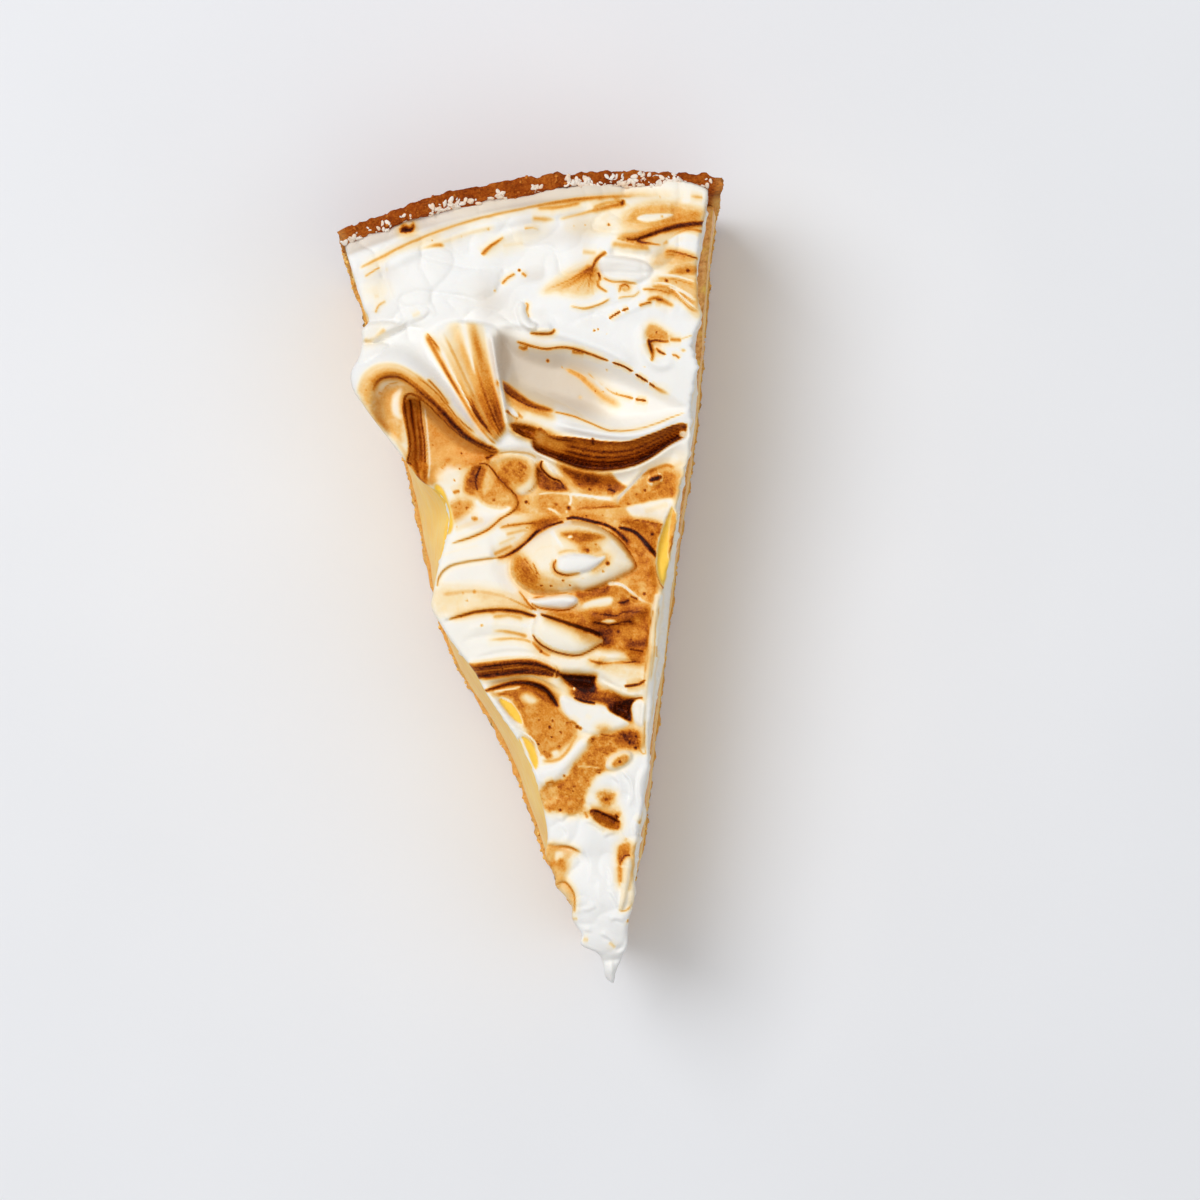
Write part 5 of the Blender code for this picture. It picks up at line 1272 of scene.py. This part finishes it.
for path, dark in (([(1, 39.7), (1.4, 39)], 0.85), ([(2.2, 40.1), (4.2, 39.5), (5.6, 39.4)], 0.8),
        ([(-5.4, 32.3), (-4, 32.5)], 0.75), ([(-2.8, 32), (-2.2, 32.3)], 0.8),
        ([(2.6, 36.8), (3.8, 37), (5, 37.2)], 0.62), ([(-7.2, 33), (-5.6, 33.4)], 0.6),
        ([(-0.6, 36), (1, 37), (1.4, 38)], 0.5), ([(1, 34.2), (2, 34.4)], 0.7)):
    burn(path, 0.25, dark)
dots((6.3, 39.4, 0.6, 0.95), (7, 38.2, 0.5, 1), (7.9, 37.2, 0.35, 1), (8.1, 39, 0.35, 0.95),
    (7.4, 39.8, 0.3, 0.85), (-2.9, 31.4, 0.25, 0.85), (-4, 34, 0.25, 0.75), (1.6, 33.9, 0.25, 0.9),
    (-0.4, 32.8, 0.25, 0.7), (-5.2, 28.6, 0.35, 0.9), (-6.7, 30.6, 0.25, 0.6), (-3.6, 30.4, 0.25, 0.62),
    (0.2, 36.4, 0.25, 0.62), (3.9, 38.4, 0.3, 0.62), (-1.9, 34.6, 0.2, 0.6), (2.4, 38.6, 0.25, 0.6))
wipe([(-1.7, 35.1), (-1, 35.2), (2, 34.6)], 0.1, 0.25, edge=2)
lobe(ellipse(5, 35.5, 2.4, 1.25, 22), 0.8, 0.7, 0.05, 0.2)
patch(ellipse(5.2, 35.4, 1.5, 0.75, 25), 0.46, 0.3, 0.5, 0.6)
dots((5.15, 35.3, 0.35, 0.9), (6.2, 35.9, 0.25, 0.5))
patch([(0.8, 30), (1.6, 31), (3.9, 30.2), (2.4, 28.4)], 0.42, 0.5, 0.5, 0.7)
burn([(1.6, 30), (2.5, 29.3), (3.2, 30)], 0.4, 0.66)
dots((2.3, 29.5, 0.5, 0.8))
patch([(3, 28.2), (4.2, 28.2), (4.4, 26.6), (3.6, 26.8)], 0.2, 0.4, 0.3)
burn([(-1.4, 28), (-1, 26.8)], 0.25, 0.5)
patch([(-0.6, 27.9), (3.8, 26.4), (3.5, 24.4), (0.7, 25.7)], 0.6, 0.2, 0.25, 0.6)
ridge([(0, 27.2), (3.6, 25.4)], 0.8, -0.9)
burn([(-0.5, 27.9), (0.6, 27.8), (3.9, 25.7)], (0.24, 0.28, 0.32, 0.3), 1.05, (0.02, 0), right=1.3, glow=0.5)
burn([(3.9, 25.7), (3.5, 24.5)], 0.2, 0.75)
burn([(3.4, 26.9), (3.9, 26.3)], 0.3, 0.98)
burn([(1, 24.6), (1.6, 24.4)], 0.3, 0.14)

# The white point of the slice: crinkled, glossy and scarcely touched by the flame.
patch([(-8.2, 23.2), (-3.4, 21.8), (-4.4, 20.6), (-6, 17.2), (-7.6, 17)], 0.22, 0.7, 0.4, 1.1)
patch([(-8.3, 22.6), (-7, 22.8), (-6.6, 17.4), (-7.8, 17.2), (-8.6, 20.4)], 0.34, 0.5, 0.3, 1)
patch([(-6.6, 22), (-5.6, 21.8), (-5.8, 20.8), (-6.8, 20.6)], 0.06, 0.3)
patch([(-6.7, 20.1), (-6, 20.9), (-5.4, 20.1), (-5.6, 18.8)], 0.5, 0.2, 0.2, 0.7)
burn([(-5.3, 21.4), (-4.6, 20.6)], 0.3, 0.32)
burn([(-7.9, 23.5), (-7.2, 22.9), (-4.4, 22.5), (-2.4, 21.2)], (0.2, 0.24, 0.28, 0.2, 0.12),
    (0.4, 0.52, 0.6, 0.45), (0.05, 0.2), right=1.6)
fold([(-8, 23.4), (-3.6, 22.2), (-2, 20.4)], 0.8, 1.2, (0.05, 0.3))
burn([(-8, 20.2), (-7.5, 19.6)], 0.3, 0.5)
patch([(-7.4, 16.4), (-6.6, 17.2), (-5.2, 16.8), (-4.5, 15), (-5.2, 11.6), (-6, 14)], 0.24, 0.3, 0.25, 1)
burn([(-7.6, 16.6), (-5.8, 17), (-4.55, 14.8), (-4.8, 11.6)], (0.26, 0.24, 0.2, 0.2),
    (0.5, 0.55, 0.6, 0.5, 0.4), (0.02, 0.1))
fold([(-7.6, 16.8), (-5.8, 17.1), (-4.8, 16), (-4.4, 14), (-4.8, 11.6)], 0.6, 0.9, (0.05, 0.1))
burn([(-7.2, 16.2), (-6.9, 15.9)], 0.2, 0.7)
burn([(-5.4, 11), (-4.3, 10.9)], 0.3, 0.24)
patch([(3.1, 20.8), (3.6, 21.9), (5, 22.2), (5.4, 21), (5, 20), (4, 19.6), (3.4, 18.4), (2.9, 15.6)], 0.5,
    0.3, 0.3, 0.7)
burn([(4.4, 22.4), (5, 23)], 0.35, 0.26)
patch([(5, 20.6), (6.6, 21.8), (6.2, 19), (4.2, 14.4)], 0.3, 0.35, 0.3)
lobe([(2.3, 11.7), (2.9, 14), (3.5, 17.4), (4.2, 19.6), (4.9, 20), (5.1, 18.4), (3.6, 12.8), (2.9, 11.5)],
    0.7, 0.8, 0.12, 0.2)
burn([(3.3, 18.7), (3.8, 19.7), (4.4, 20.2), (5.2, 20.1)], (0.17, 0.2, 0.2), (0.7, 0.92, 0.95), (0.05, 0.05))
burn([(3.5, 18.6), (3.1, 15.8)], 0.3, 0.5)
burn([(2.1, 11.8), (2.8, 11.4), (3.6, 11.5), (4.6, 12.4), (5.4, 13.6)], 0.13, (0.3, 0.5, 0.2))
patch([(4, 14), (5, 14.6), (5.2, 12.8), (4, 12)], 0.14, 0.5, 0.3)
burn([(3.6, 9.9), (4, 9.5)], 0.3, 0.42)
burn([(-3.9, 7.5), (-3, 7.3)], 0.45, 0.2)
burn([(0.2, 6.6), (1.2, 5.5)], 0.3, 0.22)
burn([(6.9, 25), (8, 25.9)], (0.3, 0.4), 0.42)
for path, rise in (([(1.2, 23.4), (2, 23.8), (3.2, 23.9)], 0.5),
        ([(-6, 27.4), (-5, 26.8), (-4.2, 27.6), (-2.4, 27.4)], 0.5),
        ([(-1.6, 26.3), (0, 25.6), (1, 24.4)], 0.5), ([(5, 34), (6.4, 31.4), (5.6, 28)], 0.8),
        ([(8.6, 34.6), (7.4, 31), (7.6, 27.6)], 0.7), ([(7, 27), (6, 24.6), (6.6, 22.6)], 0.6),
        ([(-5.4, 26.4), (-4.6, 24.6), (-5.8, 23.6)], 0.35),
        ([(-3.6, 12.2), (-2.4, 12), (-1, 12.6)], 0.35), ([(1, 15), (1.8, 13.4), (2, 11.8)], 0.6),
        ([(1.2, 18.8), (1.6, 17.2), (1.2, 15.4)], 0.45), ([(0.8, 9.8), (1.6, 10.2), (3, 9.6)], 0.6),
        ([(-3.6, 8.8), (-2.4, 8.6)], 0.4), ([(-1.2, 8), (0.4, 7), (1.4, 5.2)], 0.6),
        ([(3.4, 7.6), (2.6, 5.6), (1, 4.6)], 0.6), ([(-0.4, 17), (-0.9, 14.4), (-0.6, 12)], 0.3),
        ([(-2, 22), (-1.6, 19.4), (-2.2, 16.6)], 0.3), ([(1.6, 28.4), (2.8, 28.2)], 0.3),
        ([(-1.5, 30.2), (-0.6, 28.8)], 0.4), ([(3.2, 33.2), (4.4, 32), (4.2, 29.6)], 0.5)):
    fold(path, rise, 0.6)
ridge([(0.1, -0.3), (0.2, 4)], 0.5, 0.5, (0, 0.3))

# Each point's height is evened out with its neighbours', which takes the steps out of the steep edges.
triangles = np.array(faces[:-2])
number_on_top = np.full(count, -1)
number_on_top[top_number] = np.arange(len(top_number))
edges = np.concatenate([triangles[:, [0, 1]], triangles[:, [1, 2]], triangles[:, [2, 0]]])
one, other = number_on_top[edges].T
both = (one >= 0) & (other >= 0)
one, other = np.concatenate([one[both], other[both]]), np.concatenate([other[both], one[both]])
for _ in range(2):
    height += 0.5 * (np.bincount(one, height[other]) / np.bincount(one) - height)

# The edges of the top round over into the sides, which the knife has dragged. The foam laps over the rim at
# the right, lies in a groove inside it at the left, and is torn along the right side.
left_gap = across[on_top] * (top_sides(top_y)[1] - top_sides(top_y)[0])
right_gap = (1 - across[on_top]) * (top_sides(top_y)[1] - top_sides(top_y)[0])
back_gap = MERINGUE_BACK_Y - row_y[on_top]
back_round = 0.9 * ease((top_x - 4) / 8) + 0.05
for gap, radius in ((left_gap, 1.0), (right_gap, 0.8), (back_gap, back_round)):
    height -= radius * 0.8 * (1 - np.sqrt(1 - (1 - np.clip(gap / radius, 0, 1)) ** 2))
height -= 1.5 * ease(1 - back_gap / 2.4) * ease((12 - top_x) / 12)
# Painted shade: a faint tint and the grey shade colour along the rim's inside stand in for the shadow the
# pastry rim casts on the foam.
toast += (0.05 - toast) * ease(1.4 - back_gap) * ease((top_x + 14) / 4)
glassy = np.maximum(glassy, 0.6 * ease((1.9 - back_gap) / 0.8) * ease((18 - top_x) / 6))
# Painted shade laid at random: patches of the grey shade colour over the untouched white foam of the back
# half.
glassy = np.maximum(glassy, 0.5 * grain(top_x / 4, top_y / 3, 91.5) * untouched * (top_y > 60))

torn = ease((top_y - 60) / 20) * ease((108 - top_y) / 4)
ragged = (0.3 + 0.45 * torn) * grain(top_y / 1.7, 0.5, 12.5)
ragged += (0.16 + 0.2 * torn) * grain(top_y / 0.6, 0.5, 14.5)
shift_x += (ragged + 0.35 * torn) * ease(1 - right_gap / (1.2 + torn))
over_rim = through(
    ((-31, 0.6), (-18, 0.8), (-8, 0.9), (4, 0.8), (12, 1.3), (22, 1.6), (27, 1.3), (30, 0)), top_x)
over_rim += 0.35 * grain(top_x / 1.6, 0.5, 13.5) + 0.2 * grain(top_x / 0.6, 0.5, 15.5)
shift_y += over_rim.clip(0, 2) * ease(1 - back_gap)
z = np.zeros(count)
z[top_number] = height
x[top_number] += shift_x
y[top_number] += shift_y
browning, charred, lemon, painted_shade_values = np.zeros((4, count))
browning[top_number], charred[top_number] = toast, char
lemon[top_number], painted_shade_values[top_number] = curd_shows, glassy
on_left, on_right = place_in_row < 0, place_in_row > 1
back = (down > 0) & ~on_left & ~on_right
rim_row = on_top & (row_of == len(rows) - 1 - BACK_ROWS)
back_height = np.interp(place_in_row[back], place_in_row[rim_row], z[rim_row])
z[back] = back_height + down[back] * (MERINGUE_BASE - back_height)
y[back] -= BACK_LEAN * down[back]
corner = np.where(on_left, corners[row_of, 0], corners[row_of, 1])
for side, sign in ((on_left, -1), (on_right, 1)):
    drop = np.abs(place_in_row[side] - (0 if sign < 0 else 1))
    edge = corner[side]
    undercut = TIP_UNDERCUT * (1 - ease((row_y[side] - MERINGUE_TIP_Y) / 14))
    foot_y = row_y[side] + undercut - BACK_LEAN * down[side]
    foot_x, foot_y = bowed(foot_y, foot_sides, np.full(len(drop), float(sign > 0)))
    drag = 0.5 * grain(y[side] / 2.2, drop * 1.8, 11.5) + 0.4 * grain(y[side] / 0.8, drop * 3, 15.5)
    swell = sign * drag * np.sin(np.pi * np.clip(drop, 0, 1)) ** 0.5
    x[side] = x[edge] + (foot_x - x[edge]) * drop**0.8 + swell
    y[side] = y[edge] + (foot_y - y[edge]) * drop
    z[side] = z[edge] + (MERINGUE_BASE - z[edge]) * drop
    streak = grain(y[side] / 2.5, drop * 5, 21.5)
    browning[side] = 0.04 + 0.06 * streak.clip(0, 1) + 0.1 * ease(1 - drop * 2.5) * (1 + streak)

meringue = make_piece("torched_meringue", (x, y, z), faces,
    {"toast": browning, "char": charred, "curd": lemon, "glassy": painted_shade_values})

foam = Finish("torched_meringue")
toasted = foam.attribute("toast")
mottle = foam.noise(1.1, 4, 0.65)
bubbles = foam.noise(0.3, 2, 0.5)
core = foam.attribute("char").between(0.62, 0.82)
spread = mottle * 0.35 + bubbles * toasted.between(0.12, 0.5) * 0.5 - 0.175
browned = toasted + (spread - 0.25 * toasted.between(0.12, 0.5)) * toasted + core * 0.04
toast_colour = foam.ramp(browned.clipped(), (0.0, linear(241, 240, 237)), (0.08, linear(247, 238, 219)),
    (0.2, linear(245, 220, 172)), (0.35, linear(234, 180, 98)), (0.5, linear(218, 138, 42)),
    (0.64, linear(180, 94, 14)), (0.78, linear(130, 56, 4)), (0.9, linear(86, 27, 2)),
    (1, linear(44, 10, 1)))
# Painted shade: where glassy is set and the foam is little browned, its colour is pulled to a shaded grey
# tan (208, 192, 172).
shaded_look = foam.mix(foam.attribute("glassy") * (1 - toasted.between(0.15, 0.4)), toast_colour,
    (*linear(208, 192, 172), 1))
lemon_look = foam.mix(mottle, (*linear(250, 194, 52), 1), (*linear(252, 214, 98), 1))
meringue_colour = foam.mix(foam.attribute("curd"), shaded_look, lemon_look)
fine = foam.bump(foam.noise(0.8, 3, 0.55), 0.05)
gloss = foam.noise(4, 2) * 0.15 + 0.36
meringue.data.materials.append(foam.surface(meringue_colour, gloss, fine, ior=1.18, sheer=0.1))
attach(meringue, "root")
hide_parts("meringue")

# =============================================================================
# Crumbs and flecks: pastry crumbs broken loose along the cuts and the rim, and flecks of meringue dragged on
# to the rim. One tree scatters both over host sheets taken from the shell's own skin.


def scatter_tree():
    """Ragged balls flattened to a shape, turned and sized at random and spread by the host's "share"."""
    tree = bpy.data.node_groups.new("scattered_bits", "GeometryNodeTree")
    tree.interface.new_socket("Geometry", in_out="OUTPUT", socket_type="NodeSocketGeometry")
    for name, kind in (("Geometry", "Geometry"), ("Per square metre", "Float"), ("Seed", "Int"),
            ("Smallest", "Float"), ("Largest", "Float"), ("Shape", "Vector"), ("Raggedness", "Float"),
            ("Material", "Material")):
        tree.interface.new_socket(name, in_out="INPUT", socket_type="NodeSocket" + kind)

    def add(kind, output=0, settings=None, **sockets):
        """Adds a node and returns an output; _ in a socket's name is a space, and s0 is the first socket."""
        made = tree.nodes.new(kind)
        for key, value in (settings or {}).items():
            setattr(made, key, value)
        for key, value in sockets.items():
            socket = made.inputs[int(key[1:]) if key[1:].isdigit() else key.replace("_", " ")]
            if isinstance(value, bpy.types.NodeSocket):
                tree.links.new(value, socket)
            else:
                socket.default_value = value
        return made.outputs[output]

    given = tree.nodes.new("NodeGroupInput").outputs
    share = add("GeometryNodeInputNamedAttribute", settings={"data_type": "FLOAT"}, Name="share")
    density = add("ShaderNodeMath", settings={"operation": "MULTIPLY"}, s0=share,
        s1=given["Per square metre"])
    spots = add("GeometryNodeDistributePointsOnFaces", Mesh=given["Geometry"], Density=density,
        Seed=given["Seed"])
    ball = add("GeometryNodeMeshIcoSphere", Radius=1.0, Subdivisions=2)
    shaped = add("GeometryNodeTransform", Geometry=ball, Scale=given["Shape"])
    angles = add("FunctionNodeRandomValue", settings={"data_type": "FLOAT_VECTOR"}, s0=(-0.3, -0.3, 0),
        s1=(0.3, 0.3, 2 * math.pi), Seed=given["Seed"])
    turned = add("FunctionNodeRotateRotation", settings={"rotation_space": "LOCAL"},
        Rotation=spots.node.outputs[2], Rotate_By=angles)
    size = add("FunctionNodeRandomValue", 1, s2=given["Smallest"], s3=given["Largest"], Seed=given["Seed"])
    placed = add("GeometryNodeInstanceOnPoints", Points=spots, Instance=shaped, Rotation=turned, Scale=size)
    real = add("GeometryNodeRealizeInstances", Geometry=placed)
    noise = add("ShaderNodeTexNoise", 1, Scale=1600.0, Detail=2.0)
    centred = add("ShaderNodeVectorMath", settings={"operation": "SUBTRACT"}, s0=noise, s1=(0.5, 0.5, 0.5))
    push = add("ShaderNodeVectorMath", settings={"operation": "SCALE"}, s0=centred,
        Scale=given["Raggedness"])
    ragged = add("GeometryNodeSetPosition", Geometry=real, Offset=push)
    smooth = add("GeometryNodeSetShadeSmooth", Geometry=ragged)
    painted = add("GeometryNodeSetMaterial", Geometry=smooth, Material=given["Material"])
    tree.links.new(painted, tree.nodes.new("NodeGroupOutput").inputs[0])
    return tree


def scatter(name, chosen, shares, finish, slot, **inputs):
    """Spreads bits over the chosen faces of the shell, with a density for each face, as one plain mesh."""
    skin = crust.data
    faces = [tuple(skin.polygons[number].vertices) for number in chosen]
    host_mesh = bpy.data.meshes.new(name + "_host")
    host_mesh.from_pydata([vertex.co for vertex in skin.vertices], [], faces)
    host_mesh.attributes.new("share", "FLOAT", "FACE").data.foreach_set("value", shares.astype(np.float32))
    host = bpy.data.objects.new(name + "_host", host_mesh)
    bpy.context.scene.collection.objects.link(host)
    spread = host.modifiers.new("spread", "NODES")
    spread.node_group = bits_tree
    for item in bits_tree.interface.items_tree:
        if item.in_out == "INPUT" and item.name in inputs:
            spread[item.identifier] = inputs[item.name]
        elif item.in_out == "INPUT" and item.name == "Material":
            spread[item.identifier] = finish
    solid = host.evaluated_get(bpy.context.evaluated_depsgraph_get())
    made = bpy.data.objects.new(name, bpy.data.meshes.new_from_object(solid))
    made.data.name = name
    bpy.data.objects.remove(host)
    bpy.context.scene.collection.objects.link(made)
    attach(made, "root")
    return made


bits_tree = scatter_tree()
middle, facing = np.zeros(len(crust.data.polygons) * 3), np.zeros(len(crust.data.polygons) * 3)
crust.data.polygons.foreach_get("center", middle)
crust.data.polygons.foreach_get("normal", facing)
face_x, face_y, face_z = middle.reshape(-1, 3).T / MM - np.array([slice_x, slice_y, 0])[:, None]
facing = facing.reshape(-1, 3)
behind_wall = face_y + rim_bow(face_x) - (RIM_Y - RIM_THICKNESS)
patchy = ease(grain(face_x / 1.9, face_y / 1.4, 3.5) * 2.2 + 0.55)
smeared = through(((-31, 0.25), (-24, 0.5), (-20, 0.3), (-16, 0.9), (-9, 1), (-4, 0.4), (2, 0.7), (8, 1),
    (14, 0.9), (18, 1), (28, 0.8), (31, 0.1)), face_x)
smeared *= ease((1.9 + 0.8 * ease(face_x / 12) - behind_wall) / 1.3) * patchy
on_rim = np.flatnonzero((face_z > 34.6) & (facing[:, 2] > 0.2) & (smeared > 0.02))
fleck_finish = Finish("meringue_flecks")
fleck_colour = fleck_finish.ramp(fleck_finish.noise(1.5, 2), (0.35, linear(243, 236, 226)),
    (0.7, linear(236, 208, 180)))
fleck_look = fleck_finish.surface(fleck_colour, 0.45, fleck_finish.bump(fleck_finish.noise(0.3, 2), 0.04),
    ior=1.25, sheer=0.1)
scatter("meringue_flecks_on_rim", on_rim, smeared[on_rim], fleck_look, "meringue",
    **{"Per square metre": 3.8e6, "Seed": 3, "Smallest": 0.0001, "Largest": 0.00045,
    "Shape": (1.6, 0.9, 0.35), "Raggedness": 0.00035})

by_cut = ease((np.abs(facing[:, 0]) - 0.5) / 0.3)
broken_off = np.maximum(by_cut, 0.5 * ease((face_z - 33) / 2))
broken_off *= ease(grain(face_y / 3, face_x / 3, 8.5) * 2 + 0.6)
on_edges = np.flatnonzero(broken_off > 0.05)
crumb_finish = Finish("pastry_crumbs")
crumb_height = crumb_finish.node("ShaderNodeSeparateXYZ", None, {0: crumb_finish.place},
    output="Z").between(20 * MM, 34 * MM)
crumb_colour = crumb_finish.ramp(crumb_finish.noise(0.7, 2) + crumb_height * 0.35,
    (0.3, linear(252, 222, 150)), (0.5, linear(246, 196, 104)), (0.7, linear(216, 134, 50)),
    (0.9, linear(160, 74, 18)))
crumb_look = crumb_finish.surface(crumb_colour, 0.9, crumb_finish.bump(crumb_finish.noise(0.2, 2), 0.05),
    ior=1.2, sheer=0.05)
scatter("pastry_crumbs", on_edges, broken_off[on_edges], crumb_look, "crust",
    **{"Per square metre": 6.5e5, "Seed": 5, "Smallest": 0.0001, "Largest": 0.00034,
    "Shape": (1.2, 0.9, 0.8), "Raggedness": 0.0003})

# =============================================================================
# The table: a plain pale matt sheet. A large soft window up and to the left lights it, with a wide pale
# ceiling above and a white wall to the right. The camera hangs a metre above and looks straight down.

TABLE_SIZE = 3.0
CAMERA_HEIGHT, VIEW_WIDTH, VIEW_PLANE, FILM_WIDTH = 1000, 192, 37, 36
CAMERA_X, CAMERA_Y, CAMERA_TURN = 4.74, 61.4, math.radians(-6.2)

table_mesh = bpy.data.meshes.new("table_top")
half = TABLE_SIZE / 2
table_mesh.from_pydata([(-half, -half, 0), (half, -half, 0), (half, half, 0), (-half, half, 0)], [],
    [(0, 1, 2, 3)])
table_top = bpy.data.objects.new("table_top", table_mesh)
bpy.context.scene.collection.objects.link(table_top)
pale = Finish("pale_table")
pale_colour = pale.ramp(pale.noise(60, 2), (0.3, (0.8, 0.81, 0.835)), (0.7, (0.82, 0.83, 0.855)))
table_mesh.materials.append(pale.surface(pale_colour, 0.9, pale.bump(pale.noise(1, 2), 0.01)))


def soft_lamp(name, direction, distance, size, power):
    """A square lamp that faces the slice from a direction."""
    light = bpy.data.lights.new(name, "AREA")
    light.size = size
    light.energy = power
    lamp = bpy.data.objects.new(name, light)
    lamp.location = Vector(direction).normalized() * distance
    lamp.rotation_euler = (-lamp.location).to_track_quat("-Z", "Y").to_euler()
    bpy.context.scene.collection.objects.link(lamp)


soft_lamp("window", (-0.55, 0.5, 1.2), 1.3, 0.7, 9.6)
soft_lamp("sky_light", (0.1, -0.1, 1), 1.8, 1.6, 6.0)
soft_lamp("white_wall", (0.8, -0.3, 1), 1.3, 0.8, 1.3)

room = bpy.data.worlds.new("pale_room")
room.use_nodes = True
room.node_tree.nodes["Background"].inputs["Color"].default_value = (0.97, 0.98, 1.0, 1)
room.node_tree.nodes["Background"].inputs["Strength"].default_value = 0.36
bpy.context.scene.world = room
bpy.context.scene.view_settings.view_transform = "Standard"

camera_data = bpy.data.cameras.new("camera")
camera_data.sensor_width = FILM_WIDTH
camera_data.lens = FILM_WIDTH * CAMERA_HEIGHT / VIEW_WIDTH
camera = bpy.data.objects.new("camera", camera_data)
camera.location = Vector((CAMERA_X + slice_x, CAMERA_Y + slice_y, VIEW_PLANE + CAMERA_HEIGHT)) * MM
camera.rotation_euler = (0, 0, CAMERA_TURN)
camera_data.clip_start = 0.01
bpy.context.scene.collection.objects.link(camera)
bpy.context.scene.camera = camera
